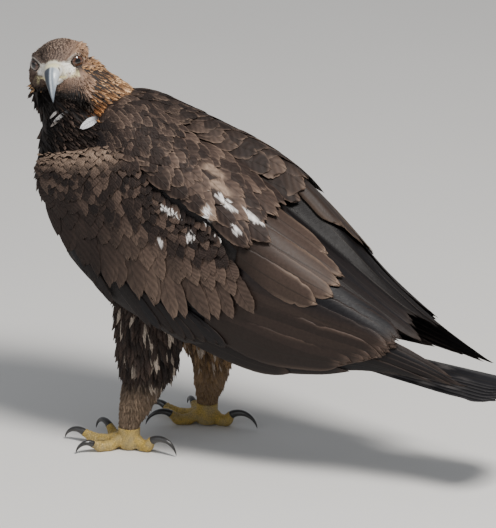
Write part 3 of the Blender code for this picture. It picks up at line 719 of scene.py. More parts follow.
# %% Patterns for the small feathers
# Just over 1, so that the tip's curve never divides by zero
VANE_END = 1.0001
DOME = 0.25
BOW = 0.12


def vane_outline(t, blunt, root, full, least):
    """Half width of a feather along its length: a narrow root, full middle and rounded tip."""
    rise = root + (1 - root) * np.sin(np.clip(t / full, 0, 1) * np.pi / 2)
    fall = np.sqrt(np.clip(1 - (np.clip(t - blunt, 0, 1) / (VANE_END - blunt)) ** 2, 0, 1))
    return np.maximum(rise * fall, least)


def pattern_feather(name, rows, columns, blunt, root, ragged, seed):
    """A feather of length 1 along Y and half width 0.5, to be copied over the skin."""
    rng = np.random.default_rng(seed)
    t = np.linspace(0, 1, rows)
    half = vane_outline(t, blunt, root, 0.5, 0.04) * 0.5
    c = np.linspace(-1, 1, columns)
    along = np.repeat(t[:, None], columns, 1)
    across = half[:, None] * c[None, :]
    edge = np.abs(c)[None, :] ** 2
    frayed = along * 0.9 + 0.1 * along * (1 - edge)
    frayed = frayed + ragged * rng.uniform(-1, 1, along.shape) * edge * along
    across = across * (1 + ragged * rng.uniform(-1, 0.4, along.shape) * edge)
    height = -DOME * half[:, None] * c[None, :] ** 2 * 2 + BOW * (along - along**2 * 1.1)
    points = np.stack((across, frayed, height), -1).reshape(-1, 3)
    mesh = bpy.data.meshes.new(name)
    grid = np.arange(rows * columns).reshape(rows, columns)
    mesh.from_pydata(points.tolist(), [], quads(grid).tolist())
    place = np.stack((np.repeat(c[None, :], rows, 0), along, along * 0), -1)
    leaf = mesh.attributes.new("leaf", "FLOAT_VECTOR", "POINT")
    leaf.data.foreach_set("vector", place.ravel())
    return bpy.data.objects.new(name, mesh)


def pattern_set(name, count, **shape):
    """A collection of a few feathers that differ in their ragged edges."""
    group = bpy.data.collections.new(name)
    for i in range(count):
        group.objects.link(pattern_feather(f"{name} {i}", seed=i, **shape))
    return group


CONTOUR = pattern_set("contour", 4, rows=7, columns=5, blunt=0.45, root=0.5, ragged=0.10)
LANCE = pattern_set("lance", 4, rows=7, columns=3, blunt=0.1, root=0.6, ragged=0.08)
SHORT = pattern_set("short", 3, rows=4, columns=3, blunt=0.3, root=0.6, ragged=0.10)
LOOSE = pattern_set("loose", 5, rows=8, columns=5, blunt=0.25, root=0.5, ragged=0.28)

# %% [markdown]
# Small feathers cover a skin evenly without rows that show, so points are scattered with a least
# distance between them. A geometry node tree does this for any skin, with its sizes as inputs.


# %% The tree that plants feathers on a skin
COAT_INPUTS = (
    ("Spacing", "Float", 0.005), ("Length", "Float", 0.02), ("Width", "Float", 0.01),
    ("Lift", "Float", 0.2), ("Stray", "Float", 0.15), ("Seed", "Int", 1),
    ("Feathers", "Collection", None), ("Material", "Material", None),
)


def new_tree():
    """An empty tree with its inputs, and short ways to its commonest nodes."""
    tree = bpy.data.node_groups.new("Coat", "GeometryNodeTree")
    tree.is_modifier = True
    for name, kind, value in (("Geometry", "Geometry", None), *COAT_INPUTS):
        kind = "NodeSocket" + kind
        socket = tree.interface.new_socket(name, in_out="INPUT", socket_type=kind)
        if value is not None:
            socket.default_value = value
    tree.interface.new_socket("Geometry", in_out="OUTPUT", socket_type="NodeSocketGeometry")

    def add(kind, settings=None, inputs=None, output=0):
        return out(add_node(tree, kind, settings, inputs), output)

    def calc(operation, a, b):
        return add("ShaderNodeMath", {"operation": operation}, {0: a, 1: b})

    def chance(low, high, seed, kind="FLOAT"):
        inputs = {"Min": low, "Max": high, "Seed": seed}
        return add("FunctionNodeRandomValue", {"data_type": kind}, inputs)

    def named(name, kind="FLOAT"):
        return add("GeometryNodeInputNamedAttribute", {"data_type": kind}, {"Name": name})

    return tree, add, calc, chance, named


def store(geometry, name, value):
    return {"Geometry": geometry, "Name": name, "Value": value}


print("inputs:", [name for name, *_ in COAT_INPUTS])

# %% [markdown]
# The tree works as a gardener does: scatter the roots, note where each is, turn every feather
# upright on the skin and then along the lie, size it, plant it, and make the copies real.


# %% Planting
def coat_tree():
    tree, add, calc, chance, named = new_tree()
    given = tree.nodes.new("NodeGroupInput").outputs
    result = tree.nodes.new("NodeGroupOutput")
    spacing = given["Spacing"]
    seeds = {
        "Mesh": given["Geometry"],
        "Distance Min": spacing,
        "Density Max": calc("DIVIDE", 3.0, calc("MULTIPLY", spacing, spacing)),
        "Density Factor": named("mask"),
        "Seed": given["Seed"],
    }
    poisson = {"distribute_method": "POISSON"}
    scatter = add_node(tree, "GeometryNodeDistributePointsOnFaces", poisson, seeds)
    roots = store(out(scatter, "Points"), "root", add("GeometryNodeInputPosition"))
    at_points = {"data_type": "FLOAT_VECTOR", "domain": "POINT"}
    rooted = add("GeometryNodeStoreNamedAttribute", at_points, roots)
    align = "FunctionNodeAlignRotationToVector"
    upright = add(align, {"axis": "Z"}, {"Vector": out(scatter, "Normal")})
    lie = {"Rotation": upright, "Vector": named("flow", "FLOAT_VECTOR")}
    lying = add(align, {"axis": "Y", "pivot_axis": "Z"}, lie)
    yaw = calc("MULTIPLY", chance(-1.0, 1.0, 11), given["Stray"])
    roll = calc("MULTIPLY", chance(-1.0, 1.0, 12), given["Stray"])
    pitch = calc("MULTIPLY", given["Lift"], chance(0.5, 1.3, 13))
    angles = add("ShaderNodeCombineXYZ", None, {"X": pitch, "Y": roll, "Z": yaw})
    turn = add("FunctionNodeEulerToRotation", None, {0: angles})
    turns = {"Rotation": lying, "Rotate By": turn}
    turned = add("FunctionNodeRotateRotation", {"rotation_space": "LOCAL"}, turns)
    long = calc("MULTIPLY", given["Length"], chance(0.8, 1.15, 14))
    wide = calc("MULTIPLY", given["Width"], chance(0.85, 1.15, 15))
    long, wide = [calc("MULTIPLY", size, named("grow")) for size in (long, wide)]
    patterns = {"Collection": given["Feathers"], "Separate Children": True, "Reset Children": True}
    feathers = {
        "Points": rooted,
        "Instance": add("GeometryNodeCollectionInfo", None, patterns),
        "Pick Instance": True,
        "Instance Index": chance(0, 7, 16, "INT"),
        "Rotation": turned,
        "Scale": add("ShaderNodeCombineXYZ", None, {"X": wide, "Y": long, "Z": long}),
    }
    planted = add("GeometryNodeInstanceOnPoints", None, feathers)
    each = {"data_type": "FLOAT", "domain": "INSTANCE"}
    luck = store(planted, "luck", chance(0.0, 1.0, 17))
    own = add("GeometryNodeStoreNamedAttribute", each, luck)
    real = add("GeometryNodeRealizeInstances", None, {"Geometry": own})
    coloured = {"Geometry": real, "Material": given["Material"]}
    tree.links.new(add("GeometryNodeSetMaterial", None, coloured), result.inputs[0])
    return tree


COAT = coat_tree()
print("coat tree:", len(COAT.nodes), "nodes")


# %% [markdown]
# The skin tells the tree what to do through one value for each of its points: the lie, where
# feathers grow at all, and how long they are there.


# %% Growing a coat on a skin
def set_attribute(obj, name, values):
    """Writes a number or a vector for each vertex."""
    values = np.asarray(values, np.float32)
    kind, key = ("FLOAT", "value") if values.ndim == 1 else ("FLOAT_VECTOR", "vector")
    obj.data.attributes.new(name, kind, "POINT").data.foreach_set(key, values.ravel())


def get_attribute(mesh, name, wide):
    data = mesh.attributes[name].data
    values = np.zeros(len(data) * wide, np.float32)
    data.foreach_get("vector" if wide == 3 else "value", values)
    return values.reshape(-1, wide) if wide > 1 else values


def grow_coat(name, skin, feathers, flow, mask, grow, sizes):
    """Plants feathers over a skin and returns them as one plain mesh object."""
    field = bpy.data.objects.new(name, skin.data.copy())
    bpy.context.scene.collection.objects.link(field)
    for key, value in (("flow", flow), ("mask", mask), ("grow", grow)):
        set_attribute(field, key, value)
    modifier = field.modifiers.new("Coat", "NODES")
    modifier.node_group = COAT
    given = [size * MM for size in sizes[:3]] + [*sizes[3:], feathers, PLUMAGE]
    values = {key: value for (key, *_), value in zip(COAT_INPUTS, given)}
    for socket in COAT.interface.items_tree:
        if socket.name in values and socket.in_out == "INPUT":
            modifier[socket.identifier] = values[socket.name]
    plain(field)
    print(name + ":", len(field.data.polygons), "faces")
    return field


# %% [markdown]
# A planted coat still knows each feather's root and luck. From these it gets its colours, dark at
# the root as painted shade where the feathers before it overlap, and worn at the tip, and a map
# for baking with a tiny patch for each feather.


# %% Colours and bake map of a coat
BAKE_PATCH = 0.003


def tint_mesh(mesh, colours):
    """Writes a colour for each vertex."""
    layer = mesh.attributes.new("tint", "FLOAT_COLOR", "POINT")
    rgba = np.concatenate((np.clip(colours, 0, 1), np.ones((len(colours), 1))), 1)
    layer.data.foreach_set("color", rgba.astype(np.float32).ravel())


def bake_map(mesh, root_uv, leaf):
    """UV map for baking: each feather is a small patch at its root's place on an unwrap."""
    uv = root_uv + BAKE_PATCH * (np.stack((leaf[:, 0] * 0.5, leaf[:, 1] - 0.5), 1))
    corners = np.zeros(len(mesh.loops), np.int32)
    mesh.loops.foreach_get("vertex_index", corners)
    layer = mesh.uv_layers.new(name="OFBake")
    layer.data.foreach_set("uv", np.clip(uv, 0, 1)[corners].astype(np.float32).ravel())


def vertex_places(mesh):
    """For each vertex of a coat: its feather's root, its place on the feather, and luck."""
    root = to_bird(get_attribute(mesh, "root", 3))
    leaf = get_attribute(mesh, "leaf", 3)
    luck = get_attribute(mesh, "luck", 1)
    leaf[:, 2] = luck
    mesh.attributes["leaf"].data.foreach_set("vector", leaf.ravel())
    return root, leaf.astype(float), luck.astype(float)


def finish_coat(obj, paint, unwrap):
    """Colours a grown coat and gives it its map for baking."""
    root, leaf, luck = vertex_places(obj.data)
    base, edge, share = paint(root, luck)
    tip = blend(0.55, 1.0, leaf[:, 1] + 0.25 * np.abs(leaf[:, 0]) ** 2)
    light = 0.72 + 0.5 * luck
    # Painted shade: each feather is darker towards its root, where the next one overlaps it
    deep = 0.45 + 0.55 * blend(0.0, 0.5, leaf[:, 1])
    colours = mix(base * (light * deep)[:, None], edge, tip * share)
    tint_mesh(obj.data, colours)
    bake_map(obj.data, unwrap(root), leaf)
    for name in ("root", "luck"):
        obj.data.attributes.remove(obj.data.attributes[name])
    obj.data.shade_smooth()
    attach(obj, "root")


# %% [markdown]
# The wing's outer surface is a table of points by place along the bird and share of the way down
# the wing. All its feathers are laid by these two numbers, so neighbours overlap in order.
# Short tables bend that surface to the photo: the mantle stands off it, the shoulder has a sharp
# upper edge with a hollow above it, and the right wing is held higher.

# %% Rows of the folded wing
SECTION_POWER = 2.8
# y, top z, half width, its z, x and z of the lower edge
WING = (
    (-160, 415, 84, 372, 74, 318), (-110, 436, 99, 365, 94, 272), (-40, 455, 107, 345, 100, 217),
    (14, 446, 109, 322, 101, 192), (96, 416, 108, 285, 99, 162), (190, 356, 99, 240, 90, 141),
    (257, 309, 89, 215, 81, 147), (326, 260, 77, 195, 70, 157), (390, 219, 68, 176, 62, 155),
    (460, 178, 58, 160, 54, 146),
)
# Share of the way down and y of the leading edge
WING_FRONT = (
    (0.0, 5), (0.2, 0), (0.27, -40), (0.34, -112), (0.45, -146), (0.6, -158), (0.75, -157),
    (0.88, -143), (1.0, -112),
)
# How far the mantle stands off the wings' surface towards the neck: y and millimetres
MANTLE_RISE = (
    (-110, 18), (-90, 22), (-75, 25), (-60, 27), (-45, 26), (-30, 22), (-10, 15), (10, 9),
    (40, 3), (70, 0),
)
# The shoulder's upper edge on the chart: y and share
SHOULDER_EDGE = (
    (-170, 0.45), (-158, 0.43), (-134, 0.384), (-119, 0.365), (-93, 0.34), (-71, 0.305),
    (-56, 0.29), (-40, 0.26), (0, 0.20), (60, 0.1),
)
# How much higher the right wing is held
RIGHT_RISE = (
    (-110, 0), (-40, 5), (14, 12), (96, 22), (180, 34), (215, 29), (257, 20), (300, 9), (350, 3),
    (400, 0),
)
RISE_SHARE = 0.12
print("the right wing is up to", max(RIGHT_RISE, key=lambda row: row[1])[1], "mm higher")

# %% [markdown]
# Each section is a quarter of a superellipse over the back and a short curve under the belt.
# The table holds it at even steps of the way down, so any spot is found between four entries.

# %% The surface of the folded wing
PLACES = np.linspace(-170, 490, 133)
SHARES = np.linspace(0, 1, 81)
STEP = PLACES[1] - PLACES[0]


def wing_table():
    """Points of the left wing by place and share, and the length of each section."""
    grid, lengths = [], []
    for y, (top, wide, belt, low_x, low_z) in zip(PLACES, curve_rows(WING, PLACES)):
        turn = np.linspace(0, np.pi / 2, 61)
        x = wide * np.sin(turn) ** (2 / SECTION_POWER)
        z = belt + (top - belt) * np.clip(np.cos(turn), 0, 1) ** (2 / SECTION_POWER)
        q = np.linspace(1 / 30, 1, 30)
        x = np.concatenate((x, wide + (low_x - wide) * q**2))
        z = np.concatenate((z, belt + (low_z - belt) * q))
        run = np.concatenate(([0], np.cumsum(np.hypot(np.diff(x), np.diff(z)))))
        across = np.interp(SHARES, run / run[-1], x)
        tall = np.interp(SHARES, run / run[-1], z)
        grid.append(np.stack((across, np.full_like(SHARES, y), tall), 1))
        lengths.append(run[-1])
    return np.array(grid), np.array(lengths)


WING_GRID, WING_LENGTHS = wing_table()


def wing_spot(y, share):
    """Points on the left wing's surface. A share below 0 is past the middle of the back."""
    row = (np.clip(y, PLACES[0] + 2, PLACES[-1] - 2) - PLACES[0]) / STEP
    column = np.clip(np.abs(share), 0, 1) * (len(SHARES) - 1)
    i = np.minimum(row.astype(int), len(PLACES) - 2)
    k = np.minimum(column.astype(int), len(SHARES) - 2)
    a = (row - i)[..., None]
    b = (column - k)[..., None]
    near = WING_GRID[i, k] * (1 - b) + WING_GRID[i, k + 1] * b
    far = WING_GRID[i + 1, k] * (1 - b) + WING_GRID[i + 1, k + 1] * b
    spot = near * (1 - a) + far * a
    spot[..., 0] *= np.where(share < 0, -1, 1)
    spot[..., 1] = y
    return spot


def wing_point(side, y, share, height):
    """Points at a height over the wing's outer surface."""
    y, share = np.broadcast_arrays(np.asarray(y, float), np.asarray(share, float))
    spot = wing_spot(y, share)
    along = wing_spot(y + 8, share) - wing_spot(y - 8, share)
    down = wing_spot(y, np.minimum(share + 0.03, 1)) - wing_spot(y, np.minimum(share, 1) - 0.03)
    normal = np.cross(down, along)
    normal /= np.linalg.norm(normal, axis=-1)[..., None]
    point = spot + normal * np.asarray(height, float)[..., None]
    if side == RIGHT:
        rise = curve_rows(RIGHT_RISE, y)[..., 0] * blend(0, RISE_SHARE, share)
        point[..., 2] += rise * (1 - share / 2)
    return point * np.array((side, 1, 1))


def share_near(points):
    """The share of the way down the wing's section that is nearest to each point."""
    row = np.clip(((points[:, 1] - PLACES[0]) / STEP).round().astype(int), 0, len(PLACES) - 1)
    section = np.stack((np.abs(points[:, 0]), points[:, 2]), 1)
    apart = WING_GRID[row][:, :, (0, 2)] - section[:, None]
    return SHARES[np.argmin(np.sum(apart**2, axis=2), axis=1)]


print("wing surface:", WING_GRID.shape, "section lengths", WING_LENGTHS[[0, 60, 132]].round())

# %% [markdown]
# The colours are mixed from a few pigments. An eagle's brown is warm but very dark, the
# nape is rufous gold, and worn feathers have bleached to a pale tan at their edges.

# %% Pigments
DARK = (0.012, 0.0085, 0.0078)
BROWN = (0.036, 0.024, 0.0195)
WORN = (0.118, 0.080, 0.061)
TAN = (0.28, 0.20, 0.148)
GOLD = (0.50, 0.27, 0.125)
RUST = (0.24, 0.092, 0.036)
WHITE = (0.80, 0.78, 0.76)
SLATE = (0.0085, 0.0080, 0.0095)
GREY = (0.16, 0.15, 0.148)
# Dark throat plumage, darkened further as painted shade under the head
SHADED_THROAT = (0.006, 0.0045, 0.004)
print("pigments from", min(SLATE), "to", max(WHITE))

# %% [markdown]
# The lie runs back and down over breast and belly, and straight down on the neck. Under the
# folded wings nothing shows, so nothing grows there.

# %% The lie of the coat on body and neck
NECK_START = np.array((0.0, -105.0, 425.0))
NECK_WAY = np.array((0.0, -0.45, 0.89))

skin_points = vertices(body_skin)
skin_out = normals(body_skin)
over_neck = (skin_points - NECK_START) @ NECK_WAY
front = blend(-105, -160, skin_points[:, 1])
facing = blend(-0.9, -0.25, skin_out[:, 1])
torso_flow = np.stack((0 * front, 1 - 0.85 * front, -0.2 - 0.9 * front), 1)
neck_flow = np.stack((0 * front, -0.1 + 1.0 * facing, -1.0 + 0.5 * facing), 1)
body_flow = mix(torso_flow, neck_flow, blend(-30, 25, over_neck))
share = share_near(skin_points)
wing_start = curve_rows(WING_FRONT, share)[:, 0]
hidden = (skin_points[:, 1] > wing_start + 22) & (share < 0.985)
mantle_over = curve_rows(MANTLE_RISE, skin_points[:, 1])[:, 0]
hidden &= skin_points[:, 2] < 452 + mantle_over * blend(70, 30, np.abs(skin_points[:, 0]))
hackle_area = blend(-34, -14, over_neck) * blend(-0.75, -0.35, skin_out[:, 1])
inside_head = np.linalg.norm(skin_points - HEAD_AT, axis=1) < 30
print("of", len(skin_points), "skin points", int(hidden.sum()), "lie under the wings")

# %% [markdown]
# Breast, belly and mantle carry broad contour feathers that lie like roof tiles. Each coat is
# one call with its sizes: spacing, length, width, lift, stray and seed.


# %% The body's feathers
BODY_SIZES = (7.0, 26, 15, 0.20, 0.16, 3)


def body_paint(root, luck):
    """Colour, edge colour and share of edge at the roots of the body's feathers."""
    base = mix(DARK, BROWN, 0.1 + 0.6 * luck)
    mantle = blend(-120, -70, root[:, 1]) * blend(395, 425, root[:, 2])
    base = mix(base, BROWN, mantle * 0.6)
    return base, np.array(WORN), 0.15 + 0.45 * mantle * luck


def body_unwrap(root):
    """A cylinder along the body, cut along the belly."""
    turn = np.arctan2(root[:, 0], root[:, 2] - 330)
    return np.stack((0.5 + turn / (2 * np.pi) * 0.96, 0.04 + (root[:, 1] + 200) / 450 * 0.92), 1)


mask = np.where(hidden | inside_head, 0, 1 - 0.97 * hackle_area)
grow = 0.62 + 0.38 * blend(60, -40, over_neck) + 0.35 * blend(-120, -50, skin_points[:, 1])
coat = grow_coat("body_feathers", body_skin, CONTOUR, body_flow, mask, grow, BODY_SIZES)
finish_coat(coat, body_paint, body_unwrap)

# %% [markdown]
# The neck's hackles are golden above a slanted line, dark brown below it and black on the
# throat, where the dark feathers are darkened further as painted shade under the head. The line
# is drawn as the camera sees the bird, along the body and up.

# %% Where the neck turns golden
# Three directions seen from the left: along the body, up, and out towards the camera
ALONG = np.array((-0.42, 0.91, 0.0))
UP = np.array((-0.31, -0.14, 0.94))
OUT = np.array((0.85, 0.40, 0.34))
GOLD_LINE = (
    (-150, 478), (-118, 470), (-110, 436), (-91, 424), (-64, 432), (-35, 452), (-20, 460),
    (40, 470),
)


def neck_gold(root, luck):
    """How golden a feather of the neck is, from 0 below the slanted line to 1 above it."""
    line = np.interp(root @ ALONG, *np.array(GOLD_LINE).T)
    chest = blend(-10, -30, root[:, 0]) * blend(-130, -146, root[:, 1])
    return blend(-7, 7, root @ UP - line + 14 * (luck - 0.5)) * (1 - chest)


print("the gold line has", len(GOLD_LINE), "places")

# %% [markdown]
# A hackle is a narrow lance with a dark heart and a bright rim. Low on the neck it is rufous,
# and under the crown it has bleached to tan.

# %% The hackles
HACKLE_SIZES = (3.6, 30, 6.5, 0.16, 0.2, 5)
RUFOUS_HEART = (0.12, 0.045, 0.016)
TAN_HEART = (0.19, 0.10, 0.050)
RUFOUS_RIMS = ((0.55, 0.22, 0.07), (0.76, 0.36, 0.13))
TAN_RIMS = ((0.46, 0.25, 0.12), (0.80, 0.51, 0.28))
SHADED_THROAT_RIM = (0.015, 0.011, 0.009)


def hackle_paint(root, luck):
    """Rufous and gold on the nape, dark brown lower down, black with painted shade on the throat."""
    golden = neck_gold(root, luck)
    tan = blend(470, 492, root[:, 2])
    base = mix(mix(DARK, BROWN, luck), mix(RUFOUS_HEART, TAN_HEART, tan), golden)
    bright = mix(mix(*RUFOUS_RIMS, luck), mix(*TAN_RIMS, luck), tan)
    edge = mix(mix(BROWN, WORN, luck), bright, golden)
    # The throat's near-black is dark plumage with painted shade under the head
    throat = blend(-128, -156, root[:, 1]) * (1 - golden)
    share = 0.25 + 0.7 * golden * blend(0.0, 0.35, luck) + 0.25 * (luck > 0.7)
    return mix(base, SHADED_THROAT, throat), mix(edge, SHADED_THROAT_RIM, throat), share


top = blend(488, 500, skin_points[:, 2]) * blend(0.4, 0.8, skin_out[:, 2])
mask = np.where(hidden | inside_head, 0, hackle_area)
grow = (0.72 + 0.4 * blend(60, -25, over_neck)) * (1 - 0.5 * top)
coat = grow_coat("neck_hackles", body_skin, LANCE, body_flow, mask, grow, HACKLE_SIZES)
finish_coat(coat, hackle_paint, body_unwrap)

# %% [markdown]
# The head's feathers are the smallest, barely two millimetres beside the bill and lids, and they
# lengthen over the crown to the nape. They sweep back from the bill, and down on the throat.

# %% The lie of the head's feathers
# The line of the mouth in the head's frame: forward and up
GAPE = ((-2, -20.5), (7, -17.5), (13, -15.5), (20, -14), (27, -13), (34, -12.6))
FAR = 40


def gape_distance(f, s, u):
    """Millimetres from the line of the mouth, and far off where the face has none."""
    line = np.interp(f, *np.array(GAPE).T)
    off = FAR * blend(7, 4, f)
    return np.abs(u - line) + off + FAR * (np.abs(s) < 6) + FAR * (np.abs(s) > 34)


head_points = vertices(head_skin)
f, s, u = bird_to_head(head_points).T
below = blend(2, -16, u)
behind = blend(-8, -30, f)
ahead = -1 + 0.3 * below + 0.6 * behind
above = -0.1 - 0.75 * below - 0.7 * behind
head_flow = np.stack((ahead, 0 * f, above), 1) @ HEAD_FRAME
down = blend(-20, -44, u)
rear_flow = np.stack((0.25 * down, 0.8 - 0.45 * down, -0.95 - 0.1 * down), 1)
head_flow = mix(head_flow, rear_flow, blend(14, 40, s))
print("head: the lie is known at", len(head_flow), "points")

# %% [markdown]
# No feather grows on the lids, the cere or the line of the mouth. Beside them the feathers are
# short, and on the nape they are long.

# %% Where the head's feathers grow, and how long
EYE_REACH = 26

both_eyes = [eye_place(head_points, side) for side in (LEFT, RIGHT)]
lid_distance = np.min([q + (reach > EYE_REACH) * 9 for q, _, reach in both_eyes], axis=0)
cere_skin = blend(26, 30, f) * blend(-18, -14, u) * (np.abs(s) < 16)
head_mask = blend(1.1, 1.35, lid_distance) * (1 - cere_skin)
head_mask = head_mask * blend(1.1, 1.9, gape_distance(f, s, u)) * blend(54, 42, s)
behind_ear = blend(-10, -36, f) * blend(8, -4, u)
long_neck = np.maximum(behind_ear, blend(26, 60, s) * blend(0, -14, u))
head_grow = 0.45 + 0.3 * blend(24, 2, f) + 1.1 * long_neck + 0.25 * below
head_grow *= 0.6 + 0.4 * blend(1.3, 2.4, lid_distance)
x, y, z = head_points.T
far_rear = blend(-2, -14, x) * blend(496, 506, z) * blend(-136, -126, y)
head_grow *= 1 - 0.55 * far_rear
print("feathers grow by", head_grow.min().round(2), "to", head_grow.max().round(2))

# %% [markdown]
# The head is painted in layers: streaked crown, golden nape, a rufous patch at the neck's side, a
# dark jaw and a black throat that also carries painted shade under the head. Each is a pair of
# colours, for a feather's heart and its rim.

# %% The colours of the head
CHEEK = ((0.245, 0.163, 0.120), (0.50, 0.335, 0.245))
CROWN_DARK = ((0.062, 0.041, 0.032), (0.12, 0.082, 0.062))
CROWN_PALE = ((0.24, 0.17, 0.13), (0.76, 0.58, 0.46))
NAPE_DULL = ((0.15, 0.080, 0.042), (0.40, 0.215, 0.11))
NAPE_BRIGHT = ((0.34, 0.20, 0.115), (0.78, 0.51, 0.31))
RUFOUS = ((0.10, 0.034, 0.011), (0.74, 0.32, 0.115))
JAW = ((0.045, 0.031, 0.025), (0.16, 0.11, 0.085))
CHIN_RIMS = ((0.02, 0.015, 0.012), (0.12, 0.09, 0.075))


def layered(base, edge, layers):
    """Lays pairs of heart and rim colours over each other, each by its own share."""
    for share, heart, rim in layers:
        base, edge = mix(base, heart, share), mix(edge, rim, share)
    return base, edge


def face_layers(f, s, u, luck):
    speck = 0.5 + 0.5 * np.sin(s * 1.6 + 2.2 * np.sin(f * 0.3) + luck * 5)
    pale_hair = np.maximum(0.9 * (luck > 0.7), 0.5 * blend(0.5, 0.9, speck))
    streaked = [mix(dark, pale, pale_hair) for dark, pale in zip(CROWN_DARK, CROWN_PALE)]
    golden = [mix(dull, bright, luck) for dull, bright in zip(NAPE_DULL, NAPE_BRIGHT)]
    crown = blend(3, 10, u) * blend(26, 8, s + 12 * (luck - 0.5))
    nape = blend(-12, -32, f + 8 * luck) * blend(-4, 18, s)
    nape = np.maximum(nape, blend(26, 50, s + 0.35 * u + 12 * (luck - 0.5)))
    jaw = blend(-14, -26, u + 0.1 * s) * blend(4, 12, s) * blend(46, 34, s)
    # The throat's near-black is dark plumage with painted shade under the head
    throat = blend(-25, -32, u + 0.10 * s) * blend(54, 38, s)
    return (
        (crown, *streaked), (nape, *golden), (blend(50, 62, s) * blend(-20, -30, u), *RUFOUS),
        (jaw * (0.45 + 0.45 * (luck > 0.45)), *JAW),
        (throat, SHADED_THROAT, mix(*CHIN_RIMS, luck > 0.85)),
    )


print("layers of the face:", len(face_layers(f, s, u, 0.5)))

# %% [markdown]
# The lores between eye and bill are whitish, and the lids dark, with painted shade above them
# under the brow, a pale brow line above that and a pale rim below. The side of the head that is
# turned away is painted a little darker as shade.

# %% The colours round the eyes
LORES = ((0.93, 0.90, 0.82), (0.96, 0.94, 0.88))
# The dark of the lids, also used as painted shade above them
LID_DARK_AND_SHADE = ((0.035, 0.026, 0.021), (0.06, 0.046, 0.038))
BROW = ((0.50, 0.45, 0.40), (0.60, 0.55, 0.50))
UNDER_LID = ((0.62, 0.49, 0.38), (0.74, 0.60, 0.48))


def eye_layers(root):
    layers = []
    for side in (LEFT, RIGHT):
        q, rise, reach = eye_place(root, side)
        near = reach < 20
        dark = blend(1.20, 1.12, q) * near
        # The wider dark band above the eye is painted shade under the brow
        brow_shade = blend(1.34, 1.26, q) * blend(4, 14, rise) * near
        brow = blend(1.56, 1.49, q) * blend(1.34, 1.42, q) * blend(18, 26, rise) * near * 0.7
        under = blend(1.16, 1.24, q) * blend(1.44, 1.36, q) * blend(-8, -18, rise) * near * 0.75
        layers += [(np.maximum(dark, brow_shade), *LID_DARK_AND_SHADE), (brow, *BROW), (under, *UNDER_LID)]
    return layers


def head_paint(root, luck):
    """Streaked crown, grey-brown cheek, black throat, whitish lores and a golden nape, with
    painted shade on the throat, above the eyes and on the side turned away.
    """
    f, s, u = bird_to_head(root).T
    base, edge = (np.tile(np.array(colour), (len(root), 1)) for colour in CHEEK)
    base, edge = layered(base, edge, face_layers(f, s, u, luck))
    face = blend(36, 28, np.abs(s))
    lores = blend(6, 14, f) * blend(8, 4, u) * blend(-14.5, -12, u - 0.12 * f)
    lores = lores * face * blend(29, 25, np.abs(s))
    base, edge = mix(base, LORES[0], lores * 0.97), mix(edge, LORES[1], lores)
    # The side turned away from the light is darkened here as painted shade
    away = blend(0, -18, s) * blend(-24, 4, f) * 0.6 * (1 - lores)
    base, edge = layered(base, edge, [(away, DARK, DARK), *eye_layers(root)])
    return base, edge, 0.35 + 0.45 * luck


def head_unwrap(root):
    """A cylinder along the bill, cut under the chin."""
    f, s, u = bird_to_head(root).T
    turn = np.arctan2(s, u + 6)
    return np.stack((0.5 + turn / (2 * np.pi) * 0.96, 0.5 + f / 110), 1)


print("the cheek's colours:", *CHEEK)

# %% [markdown]
# Two coats meet on the head: tiny round feathers on the face, and narrow longer ones where the
# nape begins.

# %% The head's short and long feathers
FACE_SIZES = (1.55, 6.2, 2.9, 0.26, 0.22, 7)
NAPE_SIZES = (2.7, 15, 3.6, 0.2, 0.2, 9)

long_area = np.maximum(blend(-14, -24, f) * blend(10, 2, u), blend(22, 34, s))
small = head_mask * (1 - 0.9 * long_area)
long_part = head_mask * long_area * (1 - blend(34, 42, s) * blend(-16, -6, u))
long_part = long_part * blend(-40, -30, f) * blend(-34, -22, x)
coats = (
    ("head_feathers", SHORT, small, FACE_SIZES), ("nape_feathers", LANCE, long_part, NAPE_SIZES),
)
for name, pattern, mask, sizes in coats:
    coat = grow_coat(name, head_skin, pattern, head_flow, mask, head_grow, sizes)
    finish_coat(coat, head_paint, head_unwrap)

# %% [markdown]
# An eagle wears trousers: long loose feathers hang over the thigh, and short soft ones clothe the
# shank down to the toes. Their frayed vanes stand off a little more than the body's.

# %% The colours of the legs
SHANK_LEFT = (0.20, 0.145, 0.10)
SHANK_RIGHT = (0.22, 0.145, 0.08)
# The right thigh's golden brown is painted light on the far leg
LIT_THIGH_RIGHT = (0.20, 0.12, 0.055)
STREAK = (0.28, 0.235, 0.195)


def leg_paint(root, luck):
    """The left leg's trousers are dark with painted shade and a few pale streaks, the right
    leg's golden brown with painted light.
    """
    left = (root[:, 0] > 0)[:, None]
    lower = blend(112, 72, root[:, 2])
    # The near left thigh is painted dark as shade and the far right one golden brown as lit, rims too
    lit_right_thigh = mix(BROWN, LIT_THIGH_RIGHT, 0.2 + 0.8 * luck)
    base = np.where(left, mix(DARK, BROWN, 0.7 * luck), lit_right_thigh)
    base = mix(base, np.where(left, SHANK_LEFT, SHANK_RIGHT), lower)
    base = mix(base, STREAK, blend(0.90, 0.93, luck) * blend(75, 95, root[:, 2]))
    edge = np.where(left, mix(BROWN, WORN, luck), np.array(TAN))
    return base, edge, 0.25 + 0.2 * lower


def leg_unwrap(root):
    """A cylinder round each leg, side by side on the map."""
    left = root[:, 0] > 0
    axes = [curve_rows(LEGS[side], root[:, 2])[:, :2] for side in (LEFT, RIGHT)]
    axis = np.where(left[:, None], *axes)
    turn = np.arctan2(root[:, 0] - axis[:, 0], root[:, 1] - axis[:, 1])
    across = 0.25 + turn / (2 * np.pi) * 0.46
    return np.stack((across + np.where(left, 0, 0.5), 0.03 + root[:, 2] / 290 * 0.93), 1)


print("shanks:", SHANK_LEFT, SHANK_RIGHT)

# %% [markdown]
# Both coats share one lie, straight down and a little back, and blend where they meet just
# above the ankle.

